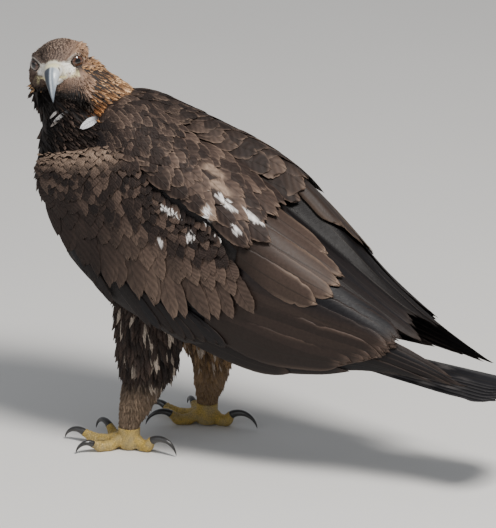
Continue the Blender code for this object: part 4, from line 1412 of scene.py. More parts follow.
# %% Trousers and shanks
z = vertices(legs_skin)[:, 2]
leg_flow = np.stack((0 * z, 0.12 + 0.1 * normals(legs_skin)[:, 1], -1 + 0 * z), 1)
thigh_mask = blend(84, 92, z) * blend(262, 250, z)
shank_mask = blend(98, 92, z) * blend(20, 23, z)
coats = (
    ("trousers", thigh_mask, 0.55 + 0.5 * blend(90, 170, z), (5.6, 32, 12, 0.20, 0.2, 11)),
    ("shank_feathers", shank_mask, 0.6 + 0.45 * blend(35, 85, z), (3.0, 15, 5.6, 0.22, 0.22, 13)),
)
for name, mask, grow, sizes in coats:
    coat = grow_coat(name, legs_skin, LOOSE, leg_flow, mask, grow, sizes)
    finish_coat(coat, leg_paint, leg_unwrap)

# %% [markdown]
# The feathers of the wing are laid one by one, since each has its own place. Age and wear give a
# vane a ragged fringe and a few splits.


# %% The worn rim of a vane
SPLIT_WIDTH = 0.035
SPLIT_DEPTH = 0.30
FRINGE = 0.045
WAVE = 0.025


def frayed(rng, count, rows, columns, ragged):
    """How far each point of a vane is pulled along and drawn in: a fringe and a few splits."""
    s = np.linspace(0, 1, rows)
    t = 1 - (1 - s) ** 1.5
    c = np.linspace(-1, 1, columns)
    fringe = rng.uniform(-1, 0.35, (count, 1, columns)) * blend(0.5, 1, t)[None, :, None]
    split_at = rng.uniform(0.5, 0.95, (count, 2))[:, :, None, None]
    split_side = rng.choice((-1.0, 1.0), (count, 2))[:, :, None, None]
    split_deep = (rng.random((count, 2)) * (rng.random((count, 2)) > 0.45))[:, :, None, None]
    near = hump((t[None, None, :, None], split_at, SPLIT_WIDTH))
    split = (near * split_deep * blend(0.2, 1, c[None, None, None, :] * split_side)).sum(1)
    wave = rng.normal(0, 1, (count, rows, 1)) * np.abs(c)[None, None, :] ** 2
    return t, c, fringe * FRINGE * ragged, 1 - split * SPLIT_DEPTH * ragged + wave * WAVE * ragged


print("splits draw a vane in by up to", SPLIT_DEPTH)

# %% [markdown]
# Feathers are laid on a sheet: a surface with two coordinates and a height, and the millimetres
# that a step of each takes. For the scapulars the wing's sheet is raised towards the hind neck.


# %% The sheets of wing and mantle
def wing_sheet(side):
    """A wing's surface for lay: its points, and millimetres for a step of each coordinate."""

    def scale(middle):
        return np.stack((np.ones(len(middle)), np.interp(middle[:, 0], PLACES, WING_LENGTHS)), 1)

    return lambda y, share, height: wing_point(side, y, share, height), scale


def mantle_sheet(side):
    flat, scale = wing_sheet(side)

    def point(y, share, height):
        rise = curve_rows(MANTLE_RISE, y)[..., 0] * blend(0.30, 0.05, share)
        edge = curve_rows(SHOULDER_EDGE, y)[..., 0]
        hollow = 9 * hump((share - edge, -0.055, 0.045)) * blend(-35, -70, y)
        return flat(y, share, height + rise - hollow)

    return point, scale


print("one step down the wing:", wing_sheet(LEFT)[1](np.zeros((1, 2)))[0].round(), "mm")

# %% [markdown]
# A vane is drawn flat first, along its shaft and across it. Then it goes onto the sheet, raised
# towards the tip and tilted, so that each lies over the next as tiles do.

# %% Laying feathers on a sheet
WIDEST = 0.45
THINNEST = 0.05
SWEEP = 0.12
BEND = 0.08
CAMBER = 0.06


def lay(sheet, roots, tips, widths, lifts, seed, tilt, shape):
    """Feathers on a surface as arrays of points, places on the feather, chart and roots."""
    rows, columns, blunt, root_width, shaft, ragged = shape
    point, scale = sheet
    rng = np.random.default_rng(seed)
    count = len(roots)
    whole = (count, rows, columns)
    t, c, fringe, drawn = frayed(rng, *whole, ragged)
    unit = scale((roots + tips) / 2)
    run = (tips - roots) * unit
    size = np.linalg.norm(run, axis=1)
    cross = np.stack((-run[:, 1], run[:, 0]), 1) / size[:, None]
    wide = np.asarray(widths)
    vane = vane_outline(t, blunt, root_width, WIDEST, THINNEST)
    half = (wide[:, None] / 2 * vane[None, :])[:, :, None]
    back = SWEEP * (c**2)[None, None, :] * (wide / size)[:, None, None]
    place = t[None, :, None] * (1 - back) + fringe
    across = half * (c[None, None, :] + shaft) * drawn
    bend = rng.uniform(-1, 1, count)[:, None] * wide[:, None] * BEND
    across = across + (bend * np.sin(np.pi * t)[None, :])[:, :, None]
    first, second = (
        roots[:, k, None, None]
        + (tips - roots)[:, k, None, None] * place
        + (cross / unit)[:, k, None, None] * across
        for k in (0, 1)
    )
    rise = lifts[0] + (lifts[1] - lifts[0]) * blend(0, 0.75, place)
    ease = rng.uniform(-0.4, 1.0, count)[:, None, None] * 0.9 * blend(0.3, 1, place)
    height = rise + ease + -CAMBER * half * (c**2)[None, None, :] - tilt * across
    points = point(first, second, height)
    luck = np.broadcast_to(rng.random(count)[:, None, None], whole)
    leaf = np.stack((*(np.broadcast_to(a, whole) for a in (c[None, :], t[:, None])), luck), -1)
    chart = np.stack((first, second), -1)
    return points, leaf, chart, np.broadcast_to(roots[:, None, None, :], (*whole, 2))


# %% [markdown]
# The grids of a tract become one object. Flight feathers are stiff and get a little thickness.


# %% One object of many feather grids
def turn_out(obj):
    """Flips a mesh of open vanes if most of it faces the middle of the bird."""
    mesh = obj.data
    middle = Vector(to_row((0, 60, 300)))
    away = [(p.normal, p.center - middle) for p in mesh.polygons]
    if sum(normal.dot(Vector((out.x, 0, out.z))) for normal, out in away) < 0:
        mesh.flip_normals()


def grids_to_mesh(name, laid, paint, unwrap, material, thick=0.0):
    """One object of many feather grids, coloured, mapped and closed if they have a thickness."""
    parts = []
    start = 0
    for kind, (points, leaf, chart, roots) in laid:
        grid = np.arange(points[..., 0].size).reshape(points.shape[:3]) + start
        part = points, leaf, paint(kind, chart, leaf), unwrap(roots), quads(grid)
        parts.append([a.reshape(-1, a.shape[-1]) for a in part])
        start += grid.size
    points, leaf, colours, places, faces = (np.concatenate(part) for part in zip(*parts))
    obj = add_mesh(name, points, faces)
    set_attribute(obj, "leaf", leaf)
    tint_mesh(obj.data, colours)
    bake_map(obj.data, places, leaf)
    turn_out(obj)
    if thick:
        shell = obj.modifiers.new("Thickness", "SOLIDIFY")
        shell.thickness = thick * MM
        shell.offset = -1
        plain(obj)
    obj.data.materials.append(material)
    obj.data.shade_smooth()
    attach(obj, "root")
    print(name + ":", len(obj.data.polygons), "faces")


# %% [markdown]
# A folded wing shows its tracts in order. Small coverts hang from the leading edge like a
# curtain, and longer ones follow down to the greater coverts.

# %% The curtain of coverts
# Share of the way along the wing, y and the wing's share, at the top and at the end
CURTAIN_TOP = (
    (0, -160, 0.445), (0.2, -120, 0.372), (0.4, -80, 0.325), (0.55, -42, 0.275),
    (0.7, 0, 0.33), (0.8, 30, 0.38), (0.9, 72, 0.405), (1, 125, 0.41),
)
CURTAIN_END = (
    (0, -128, 0.90), (0.2, -88, 0.91), (0.4, -38, 0.90), (0.55, 8, 0.88),
    (0.7, 58, 0.87), (0.8, 100, 0.81), (0.9, 142, 0.765), (1, 184, 0.64),
)
# Share of the way down at root and tip, how many, width
CURTAIN_ROWS = (
    (-0.04, 0.05, 40, 11), (-0.01, 0.085, 40, 11.5), (0.02, 0.13, 38, 12.5),
    (0.055, 0.18, 36, 14), (0.09, 0.235, 33, 15.5), (0.13, 0.295, 30, 17.5),
    (0.175, 0.36, 27, 19.5), (0.22, 0.43, 25, 22), (0.27, 0.51, 23, 24),
    (0.33, 0.60, 21, 27), (0.39, 0.74, 19, 30), (0.46, 1.0, 18, 33),
)
# Shapes of vanes: rows, columns, where the tip begins to round, root width, shaft, raggedness
TINY = (9, 7, 0.45, 0.6, 0.0, 0.8)
MIDDLE = (14, 9, 0.5, 0.6, 0.0, 1.0)
LARGE = (22, 13, 0.58, 0.6, 0.0, 1.0)


def stray(roots, tips, rng, along, aside):
    """Shifts the tips a little along and across the chart."""
    tips = tips + rng.normal(0, 1, tips.shape) * np.array((along, aside))
    return roots + rng.normal(0, 1, roots.shape) * np.array((along, aside)) * 0.4, tips


def curtain(sheet, rng):
    """The rows of coverts, from the leading edge down to the greater coverts."""
    laid = []
    for i, (start, end, count, width) in enumerate(CURTAIN_ROWS):
        offset = 0.5 if i % 2 else 0.0
        places = np.arange(count) + offset + rng.uniform(-0.25, 0.25, count)
        a = 0.035 + 0.965 * places / count
        top, low = curve_rows(CURTAIN_TOP, a), curve_rows(CURTAIN_END, a)
        roots = top + (low - top) * start
        tips = top + (low - top) * (end + rng.normal(0, 0.018, count)[:, None])
        roots, tips = stray(roots, tips, rng, 1.0 + 0.12 * width, 0.006)
        widths = width * rng.uniform(0.85, 1.2, count)
        lifts = (-5.5 + 0.06 * i, 1.4 - 0.14 * i)
        kind = "greater" if i == 11 else "median" if i > 8 else "covert"
        shape = LARGE if i > 9 else MIDDLE if i > 4 else TINY
        laid.append((kind, lay(sheet, roots, tips, widths, lifts, 30 + i, 0.06, shape)))
    return laid


print("coverts:", sum(row[2] for row in CURTAIN_ROWS), "on each wing")

# %% [markdown]
# Each row of flight feathers runs between its first and its last feather, and the tips may bulge
# out between them. The alula is the small group on the wing's thumb.

# %% The flight feathers
# How many, first and last root, first and last tip, bulge, width and heights, then the shape
FLIGHT_ROWS = {
    "primary": (
        (8, (40, 0.95), (160, 0.60), (228, 0.975), (445, 0.62), (100, 0.09), 30, (-9, -9)),
        (44, 11, 0.72, 0.55, -0.35, 0.35),
    ),
    "secondary": (
        (13, (105, 0.84), (182, 0.42), (298, 0.89), (372, 0.40), (28, 0.02), 46, (-6, -5)),
        (40, 13, 0.84, 0.6, -0.2, 0.5),
    ),
    "tertial": (
        (5, (150, 0.44), (120, 0.14), (262, 0.475), (255, 0.12), (28, -0.01), 44, (-4.5, -2)),
        (34, 13, 0.74, 0.6, 0.0, 0.7),
    ),
    "inner": (
        (4, (190, 0.17), (170, 0.03), (400, 0.30), (372, 0.05), (0, 0), 30, (-8, -6)),
        (34, 11, 0.8, 0.6, -0.2, 0.4),
    ),
    "primary_covert": (
        (8, (-60, 0.80), (64, 0.84), (26, 0.985), (140, 0.90), (0, 0.01), 24, (-7, -5)),
        (22, 9, 0.6, 0.55, -0.1, 0.7),
    ),
    "alula": (
        (4, (-140, 0.74), (-110, 0.82), (-70, 0.955), (-28, 0.985), (0, 0.0), 24, (-5.5, -2.5)),
        (22, 9, 0.6, 0.55, -0.1, 0.5),
    ),
}


def flight_rows(sheet, rng):
    laid = []
    for name, (row, shape) in FLIGHT_ROWS.items():
        count, root_a, root_b, tip_a, tip_b, bulge, width, lifts = row
        u = np.linspace(0, 1, count)[:, None]
        roots = np.array(root_a) * (1 - u) + np.array(root_b) * u
        tips = np.array(tip_a) * (1 - u) + np.array(tip_b) * u + 4 * u * (1 - u) * np.array(bulge)
        roots, tips = stray(roots, tips, rng, 2.5, 0.005)
        widths = width * rng.uniform(0.94, 1.06, count)
        laid.append((name, lay(sheet, roots, tips, widths, lifts, 5, 0.055, shape)))
    return laid


print("flight feathers:", {name: row[0] for name, (row, _) in FLIGHT_ROWS.items()})

# %% [markdown]
# The mantle's pointed feathers carry on from the hackles over the shoulder, and the scapulars,
# broader row by row, lie over the wing's upper part.

# %% Mantle and scapulars
POINTED = (16, 9, 0.3, 0.55, 0.0, 0.8)
MANTLE_ROWS = 8
# y of roots and tips, share of the first and last, how many, width
SCAPULARS = (
    (-84, -48, 0.02, 0.25, 12, 20), (-68, -28, 0.02, 0.26, 12, 21), (-52, -8, 0.02, 0.26, 12, 23),
    (-34, 14, 0.02, 0.265, 12, 24), (-16, 34, 0.02, 0.27, 11, 26), (2, 56, 0.02, 0.28, 11, 28),
    (22, 80, 0.02, 0.29, 11, 29), (42, 104, 0.02, 0.30, 10, 31), (64, 130, 0.02, 0.31, 9, 33),
    (88, 158, 0.02, 0.32, 8, 36), (112, 188, 0.02, 0.32, 7, 38),
)


def mantle(sheet, rng):
    laid = []
    for i in range(MANTLE_ROWS):
        count = 15 - i // 3
        share = np.linspace(0.005, 0.25 - 0.004 * i, count) + (0.008 if i % 2 else 0)
        root = -80 + 9.5 * i + rng.uniform(-5, 5, count)
        roots = np.stack((root, share * 0.95), 1)
        tips = np.stack((root + 38 + 1.6 * i + rng.normal(0, 4, count), share * 1.06 + 0.016), 1)
        roots, tips = stray(roots, tips, rng, 2.0, 0.006)
        widths = (13 + 0.9 * i) * rng.uniform(0.85, 1.15, count)
        lifts = (-5.0, 1.2 + 0.2 * i)
        laid.append(("mantle", lay(sheet, roots, tips, widths, lifts, 90 + i, 0.05, POINTED)))
    return laid


def scapulars(sheet, rng):
    laid = []
    for i, (start, end, first, last, count, width) in enumerate(SCAPULARS):
        offset = 0.012 if i % 2 else 0
        s = np.linspace(first, last, count) + offset + rng.normal(0, 0.006, count)
        slip = rng.uniform(-9, 9, count)
        roots = np.stack((start + slip, s * 0.94), 1)
        tips = np.stack((end + slip + rng.normal(0, 5, count), s * 1.05 + 0.022), 1)
        roots, tips = stray(roots, tips, rng, 2.0, 0.006)
        widths = width * rng.uniform(0.85, 1.15, count)
        lifts = (-7.0, 0.5 + 0.22 * i)
        laid.append(("scapular", lay(sheet, roots, tips, widths, lifts, 60 + i, 0.05, LARGE)))
    return laid


print("scapulars:", sum(row[4] for row in SCAPULARS), "on each side")

# %% [markdown]
# Some coverts are fresh and dark, some bleached, and a few show the white down of feathers that
# have parted. The right wing, which isn't seen, has its marks in other places.

# %% Marks on the wing's chart
# y, share and the two half widths of each mark
WHITE_SPOTS = {
    LEFT: (
        (56, 0.421, 13, 0.012), (121, 0.262, 15, 0.015), (160, 0.237, 17, 0.014),
        (106, 0.352, 5, 0.03), (131, 0.409, 8, 0.010), (146, 0.345, 6, 0.018),
        (87, 0.480, 5, 0.022), (44, 0.570, 5, 0.014),
    ),
    RIGHT: (
        (204, 0.13, 9, 0.02), (70, 0.46, 9, 0.012), (118, 0.36, 10, 0.012), (30, 0.62, 7, 0.012),
    ),
}
TAN_SPOTS = {
    LEFT: ((108, 0.345, 14, 0.035), (112, 0.215, 16, 0.022), (96, 0.16, 16, 0.03)), RIGHT: (),
}


def marked(colour, side, chart, leaf):
    """Lays the bleached and the white marks of this wing over its colours."""
    y, share = chart[..., 0], chart[..., 1]
    across, luck = leaf[..., 0], leaf[..., 2]
    for spot_y, spot_share, wide, tall in TAN_SPOTS[side]:
        near = hump((y, spot_y, wide), (share, spot_share, tall))
        shown = blend(0.3, 0.7, near + 0.3 * (luck - 0.5)) * 0.8
        colour = mix(colour, mix(WORN, TAN, 0.6 + 0.4 * luck), shown)
    streaks = 0.30 * np.sin(across * 5 + luck * 40) + 0.25 * np.sin(across * 13 + luck * 90)
    for spot_y, spot_share, wide, tall in WHITE_SPOTS[side]:
        near = hump((y, spot_y, wide), (share, spot_share, tall))
        shown = blend(0.42, 0.62, near + streaks * (near > 0.1))
        colour = mix(colour, mix(TAN, WHITE, 0.85), shown)
    return colour


print("white marks:", len(WHITE_SPOTS[LEFT]), "left and", len(WHITE_SPOTS[RIGHT]), "right")

# %% [markdown]
# Every tract has its own brown, and each feather its own wear, with paler rims and tips. Flight
# feathers are slate dark. Feathers just under the shoulder's top edge are painted paler as lit,
# and those in the hollow above it darker as painted shade.


# %% The colours of each tract
def vane_parts(leaf):
    """How far a point belongs to a feather's rim, its outer half, and its luck."""
    across, along, luck = leaf[..., 0], leaf[..., 1], leaf[..., 2]
    sides = blend(0.70, 1.0, np.abs(across)) * blend(0.3, 0.8, along)
    return np.maximum(sides, blend(0.90, 1.0, along)), blend(0.45, 1.0, along), luck


def flight_colour(kind, chart, leaf):
    rim, tip, luck = vane_parts(leaf)
    if kind != "secondary":
        worn = rim * (0.30 if kind == "primary" else 0.16) + 0.06 * luck * tip
        return mix(mix(SLATE, DARK, luck), WORN, worn)
    brown = blend(0.46, 0.60, chart[..., 1]) * blend(395, 350, chart[..., 0])
    base = mix(SLATE, mix(DARK, BROWN, 0.3 + 0.7 * luck), brown)
    return mix(base, WORN, rim * (0.25 + 0.35 * brown))


def shoulder_colour(kind, chart, leaf, from_edge):
    """Mantle and scapulars, with slate painted as shade in the hollow above the shoulder's edge."""
    y, share = chart[..., 0], chart[..., 1]
    rim, tip, luck = vane_parts(leaf)
    if kind == "mantle":
        worn = 0.5 * blend(0.5, 1.0, luck) * tip
        base = mix(mix(DARK, BROWN, 0.3 + 0.7 * luck), WORN, worn)
        pale = rim * 0.8 * blend(0.25, 0.6, luck)
        colour = mix(base, mix(BROWN, TAN, 0.35 + 0.4 * luck), pale)
        golden = blend(-52, -84, y) * blend(0.16, 0.08, share) * blend(0.2, 0.6, luck)
        colour = mix(colour, mix(RUST, GOLD, luck), golden * tip)
    else:
        base = mix(DARK, BROWN, 0.4 + 0.6 * luck)
        colour = mix(base, WORN, blend(0.45, 1.0, luck) * tip * 0.9)
        colour = mix(colour, mix(WORN, TAN, 0.5 * luck), rim * 0.8)
    # The slate here is painted shade in the hollow above the shoulder's edge
    return mix(colour, SLATE, blend(-0.19, -0.06, from_edge) * blend(-30, -75, y) * 0.85)


def covert_colour(kind, chart, leaf, from_edge):
    y, share = chart[..., 0], chart[..., 1]
    rim, tip, luck = vane_parts(leaf)
    if kind in ("greater", "median"):
        worn = blend(-60, 20, y) * (0.35 + 0.65 * luck)
        base = mix(mix(DARK, BROWN, 0.4 + 0.4 * luck), mix(BROWN, WORN, 0.6), worn)
        base = mix(base, DARK, blend(150, 190, y) * 0.7)
        pale = (rim * 0.4 + 0.35 * blend(0.55, 1, leaf[..., 1])) * worn
        return mix(base, mix(WORN, TAN, 0.35), pale)
    fresh = mix(DARK, mix(BROWN, WORN, 0.5 * (luck > 0.72)), luck)
    # Painted light: feathers just under the shoulder's top edge, towards the front, get paler tan
    high = blend(0.15, 0.03, from_edge) * blend(-10, -50, y)
    base = mix(fresh, mix(WORN, TAN, 0.45 + 0.5 * luck), high * (0.7 + 0.3 * luck))
    base = mix(base, WORN, 0.4 * (luck > 0.86) * tip)
    base = mix(base, DARK, blend(0.60, 0.80, share) * blend(20, -60, y) * 0.6)
    pale = rim * (0.30 + 0.5 * high + 0.3 * (luck > 0.8))
    return mix(base, mix(WORN, TAN, 0.8 * high), pale)


print("a primary's tip:", flight_colour("primary", np.zeros(2), np.ones(3)).round(3))

# %% [markdown]
# The far wing is in shade in the photo and a little darker. All tracts of a wing make three
# objects: flight feathers, coverts and scapulars.

# %% Both wings
FAR_SHADE = 0.5


def wing_paint(side):
    """Gives the function that colours a tract of this wing."""
    shade = 1.0 if side == LEFT else FAR_SHADE

    def paint(kind, chart, leaf):
        rim, tip, luck = vane_parts(leaf)
        # Painted shade: each feather is darker towards its root, under the one that overlaps it
        deep = (0.45 + 0.55 * blend(0.05, 0.5, leaf[..., 1]))[..., None]
        if kind == "tertial":
            base = mix(BROWN, WORN, 0.15 + 0.3 * luck * tip)
            return mix(base, mix(WORN, TAN, 0.6), rim * 0.75) * deep * shade
        if kind in FLIGHT_ROWS:
            return flight_colour(kind, chart, leaf) * shade
        from_edge = chart[..., 1] - curve_rows(SHOULDER_EDGE, chart[..., 0])[..., 0]
        pick = shoulder_colour if kind in ("mantle", "scapular") else covert_colour
        colour = marked(pick(kind, chart, leaf, from_edge), side, chart, leaf)
        return colour * deep * (0.5 + 0.5 * shade)

    return paint


def wing_unwrap(roots):
    """The chart itself: along the bird and down the wing."""
    return np.stack(((roots[..., 0] + 190) / 660, 0.04 + np.abs(roots[..., 1]) * 0.9), -1)


for side, label in ((LEFT, "left"), (RIGHT, "right")):
    rng = np.random.default_rng(21 + side)
    flight = flight_rows(wing_sheet(side), rng)
    covert = curtain(wing_sheet(side), rng)
    raised = mantle_sheet(side)
    shoulder = mantle(raised, rng) + scapulars(raised, rng)
    look = wing_paint(side), wing_unwrap
    grids_to_mesh(f"flight_feathers_{label}", flight, *look, FLIGHT, 0.4)
    grids_to_mesh(f"wing_coverts_{label}", covert, *look, PLUMAGE)
    grids_to_mesh(f"scapulars_{label}", shoulder, *look, PLUMAGE)

# %% [markdown]
# Where the neck meets the shoulder a few feathers have turned over and show pale undersides. They
# lie on small flat sheets just over the hackles.

# %% Turned feathers at the neck's base
# Root and tip along ALONG, UP and OUT, then width and colour
TURNED = (
    ((-93, 429, 171), (-117, 414, 171), 12, (0.62, 0.62, 0.64)),
    ((-132, 439, 158), (-153, 424, 143), 5.5, (0.40, 0.385, 0.375)),
    ((-140, 432, 153), (-157, 417, 140), 5, (0.30, 0.26, 0.235)),
    ((-146, 440, 150), (-158, 428, 140), 4, (0.36, 0.34, 0.33)),
)


def turned_grid(root, tip, width, colour):
    """One turned feather on its own sheet, which slants from root to tip."""
    slope = (tip[2] - root[2]) / (tip[0] - root[0])

    def point(a, b, height):
        away = root[2] + slope * (a - root[0]) + height
        return a[..., None] * ALONG + b[..., None] * UP + away[..., None] * OUT

    sheet = point, lambda middle: np.ones((len(middle), 2))
    ends = np.array((root[:2],), float), np.array((tip[:2],), float)
    return colour, lay(sheet, *ends, np.array((width,), float), (-3.0, 1.0), 7, 0.0, POINTED)


def turned_paint(colour, _, leaf):
    shade = blend(0.0, 0.35, leaf[..., 1]) * (0.85 + 0.15 * np.sin(leaf[..., 0] * 9))
    return mix(DARK, colour, shade)


def turned_unwrap(roots):
    return np.stack(((roots[..., 0] + 170) / 100, (roots[..., 1] - 400) / 60), -1)


turned = [turned_grid(*row) for row in TURNED]
grids_to_mesh("turned_feathers", turned, turned_paint, turned_unwrap, PLUMAGE)

# %% [markdown]
# Twelve long feathers make the tail, the middle pair on top, with short coverts over and under
# their roots. They are laid on the tail's own sheet, which droops a little to each side.

# %% The tail's sheet
# y, z, half width and droop at the sides
TAIL = (
    (222, 182, 26, 1), (300, 171, 36, 1), (400, 161, 46, 2), (480, 154, 53, 3), (520, 150, 54, 3),
)


def tail_point(y, x, height):
    z, wide, droop = np.moveaxis(curve_rows(TAIL, y), -1, 0)
    return np.stack((x, y, z - droop * (x / wide) ** 2 + height), -1)


def tail_grid(root, tip, width, lifts, seed, tilt, shape):
    """One feather over the tail, from root to tip given as y and x."""
    rows, columns, blunt, root_width, ragged = shape
    rng = np.random.default_rng(seed)
    t, c, fringe, drawn = frayed(rng, 1, rows, columns, ragged)
    t, c = t[:, None], c[None, :]
    half = width / 2 * vane_outline(t, blunt, root_width, WIDEST, THINNEST)
    place = t * (1 - 0.04 * c**2) + fringe[0]
    y = root[0] + (tip[0] - root[0]) * place
    x = root[1] + (tip[1] - root[1]) * place + half * c * drawn[0]
    rise = lifts[0] + (lifts[1] - lifts[0]) * blend(0, 0.8, t)
    height = rise + tilt * half * c - 0.04 * half * c**2
    leaf = np.stack(np.broadcast_arrays(c, t, np.full((1, 1), rng.random())), -1)
    chart = np.stack((y, x), -1)
    roots = np.broadcast_to(np.array(root), chart.shape)
    return tuple(a[None] for a in (tail_point(y, x, height), leaf, chart, roots))


print("the tail's end:", tail_point(np.array(518), np.array(0), 0), "mm")

# %% [markdown]
# The pairs lie under each other from the middle outwards. The outer ones are a little shorter,
# which rounds the tail's end.

# %% The tail's feathers
PAIRS = 6
QUILL = (40, 11, 0.9, 0.5, 0.35)
TAIL_COVERT = (14, 7, 0.6, 0.6, 0.8)
# Kind, how many, y of roots and tips, reach to each side, heights, width
TAIL_COVERTS = (
    ("upper", 9, 236, 296, 26, (7, 10), 30), ("upper", 8, 258, 330, 28, (5, 7), 32),
    ("upper", 7, 285, 362, 30, (3, 4), 32), ("under", 7, 236, 310, 24, (-14, -15), 30),
    ("under", 6, 270, 368, 26, (-12, -12.5), 32),
)


def tail_feathers():
    grids = []
    for pair in range(PAIRS):
        number = pair + 0.5
        for side in (LEFT, RIGHT):
            drop = -number * 1.5 + (0.7 if side == LEFT else 0)
            root, tip = (240, side * number * 3.2), (518 - 0.45 * number**2, side * number * 6.6)
            grid = tail_grid(root, tip, 36, (drop, drop), pair + 40, -side * 0.05, QUILL)
            grids.append(("rectrix", grid))
    rng = np.random.default_rng(77)
    for kind, count, start, end, reach, (low, high), width in TAIL_COVERTS:
        for i in range(count):
            u = 2 * i / (count - 1) - 1
            tip = (end - 22 * u * u + rng.uniform(-4, 4), u * reach + rng.uniform(-2, 2))
            lifts = (low - 4 * u * u * np.sign(low), high - 3 * u * u * np.sign(high))
            root = (start, u * reach * 0.6)
            grid = tail_grid(root, tip, width, lifts, 100 + i, -0.08 * np.sign(u), TAIL_COVERT)
            grids.append((kind, grid))
    return grids


def tail_paint(kind, chart, leaf):
    """Blackish with marbled grey bars and a dark end. The coverts are brown."""
    y, x = chart[..., 0], chart[..., 1]
    across, along, luck = leaf[..., 0], leaf[..., 1], leaf[..., 2]
    rim = np.maximum(blend(0.75, 1.0, np.abs(across)), blend(0.95, 1, along))
    if kind == "rectrix":
        bars = 0.5 + 0.5 * np.sin(y / 9.5 + 1.3 * np.sin(x / 5) + 6 * luck)
        marbled = blend(0.55, 0.9, bars) * blend(468, 430, y) * blend(0.1, 0.5, np.abs(across))
        base = mix(SLATE, mix(DARK, GREY, 0.35), marbled * 0.8)
        return mix(base, GREY, rim * 0.15)
    base = mix(DARK, BROWN, 0.4 + 0.6 * luck)
    return mix(base, WORN, rim * 0.5 * blend(0.4, 1, along))


def tail_unwrap(roots):
    return np.stack((0.5 + roots[..., 1] / 80, 0.05 + (roots[..., 0] - 220) / 160), -1)


grids_to_mesh("tail_feathers", tail_feathers(), tail_paint, tail_unwrap, FLIGHT, 0.5)

# %% [markdown]
# Under the feathers of wings and tail lies their flesh. It never shows, but without it one would
# look through the gaps between feathers.

# %% The flesh of wings and tail
WING_BACK = ((0.02, 205), (0.3, 200), (0.6, 190), (0.8, 165), (0.9, 120), (1.0, 45))
UNDER_ROOTS = -9.0
# y, half width and half height of the tail's flesh
TAIL_CORE = ((218, 32, 20), (240, 29, 15), (262, 27, 12), (285, 24, 9), (315, 16, 4))


def wing_core(side):
    """A closed slab under the roots of a wing's feathers, thick in front."""
    shares = np.linspace(0.02, 0.985, 40)
    u = np.linspace(0, 1, 44)
    start = curve_rows(WING_FRONT, shares)[:, 0] + 10
    end = curve_rows(WING_BACK, shares)[:, 0] + 15
    y = start[:, None] + (end - start)[:, None] * u
    share = np.broadcast_to(shares[:, None], y.shape)
    depth = 10 + 26 * blend(0.6, 0, u)[None, :] * np.ones_like(y)
    heights = UNDER_ROOTS + 0 * y, UNDER_ROOTS - depth
    sheets = [wing_point(side, y, share, height).reshape(-1, 3) for height in heights]
    count = y.size
    grid = np.arange(count).reshape(y.shape)
    faces = [quads(grid), quads(grid + count)[:, ::-1]]
    rim = np.concatenate((grid[0, :-1], grid[:-1, -1], grid[-1, :0:-1], grid[:0:-1, 0]))
    after = np.roll(rim, -1)
    faces.append(np.stack((rim, rim + count, after + count, after), -1))
    obj = add_mesh("wing core", np.concatenate(sheets), np.concatenate(faces))
    face_out(obj)
    return obj


tail_rings = []
for y, wide, tall in TAIL_CORE:
    middle = tail_point(np.array(y), np.array(0.0), np.array(-4.0))
    tail_rings.append(ring(middle, (wide - 2, 0, 0), (0, 0, tall - 2), 24))
cores = [wing_core(LEFT), wing_core(RIGHT), loft("tail core", tail_rings)]
print("flesh of wings and tail:", [len(core.data.polygons) for core in cores], "faces")

# %% [markdown]
# The skin is finished last, because the coats were planted on its parts. Joining them loses their
# colours, so those are read first and written again.

# %% One skin
CERE_YELLOW = (0.60, 0.56, 0.44)
GAPE_YELLOW = (0.70, 0.62, 0.34)
LID_BLACK = (0.02, 0.015, 0.012)

skin_shader = Shader("skin", 0.75)
rough = skin_shader.noise(skin_shader.place(), 400.0, 4.0)
skin_tint = skin_shader.attribute("tint", "Color")
skin_shader.set("Base Color", skin_shader.scale(skin_tint, 0.7 + 0.6 * rough))
skin_shader.bump(rough, 0.0005)


def skin_colours(obj, kind):
    """The middle tone of the coat that hides the skin, and the bare skin of the face."""
    points = vertices(obj)
    half = np.full(len(points), 0.5)
    if kind == "core":
        return np.tile(np.array(DARK), (len(points), 1))
    if kind == "leg":
        return leg_paint(points, half)[0]
    if kind == "body":
        return body_paint(points, half)[0] * 0.6
    f, s, u = bird_to_head(points).T
    cere = blend(24, 29, f) * blend(-18, -14, u) * (np.abs(s) < 17)
    colours = mix(head_paint(points, half)[0], CERE_YELLOW, cere)
    colours = mix(colours, GAPE_YELLOW, blend(2.0, 1.0, gape_distance(f, s, u)))
    for side in (LEFT, RIGHT):
        q, _, reach = eye_place(points, side)
        colours = mix(colours, LID_BLACK, blend(1.3, 1.15, q) * (reach < 20))
    return colours


parts = [(body_skin, "body"), (legs_skin, "leg"), (head_skin, "head")]
parts += [(core, "core") for core in cores]
for obj, kind in parts:
    tint_mesh(obj.data, skin_colours(obj, kind))
tints = [obj.data.attributes["tint"].data for obj, _ in parts]
colours = np.concatenate([np.array([c.color[:3] for c in tint]) for tint in tints])
skin = joined("skin", [obj for obj, _ in parts])
if "tint" in skin.data.attributes:
    skin.data.attributes.remove(skin.data.attributes["tint"])
tint_mesh(skin.data, colours)
skin.data.materials.clear()
skin.data.materials.append(skin_shader.material)
skin.data.shade_smooth()
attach(skin, "root")
flesh = ["torso", "neck", "head", "tail"]
flesh += [f"{part}_{label}" for part in ("wing", "thigh", "shank") for label in ("left", "right")]
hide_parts(*flesh)
print("skin:", len(skin.data.polygons), "faces")

# %% [markdown]
# An eagle's eye is a ball behind a clear cornea. Here it is one glossy ball whose colour is set
# by the angle from its axis: pupil, amber iris with fine spokes, dark outer ring.

# %% The eyes
IRIS_EDGE = 0.74
PUPIL_EDGE = 0.37
IRIS_DARK = (0.060, 0.026, 0.015)
IRIS_LIGHT = (0.155, 0.068, 0.038)
IRIS_RIM = (0.02, 0.009, 0.005)
PUPIL = (0.002, 0.002, 0.002)
EYE_RIM = (0.02, 0.012, 0.01)


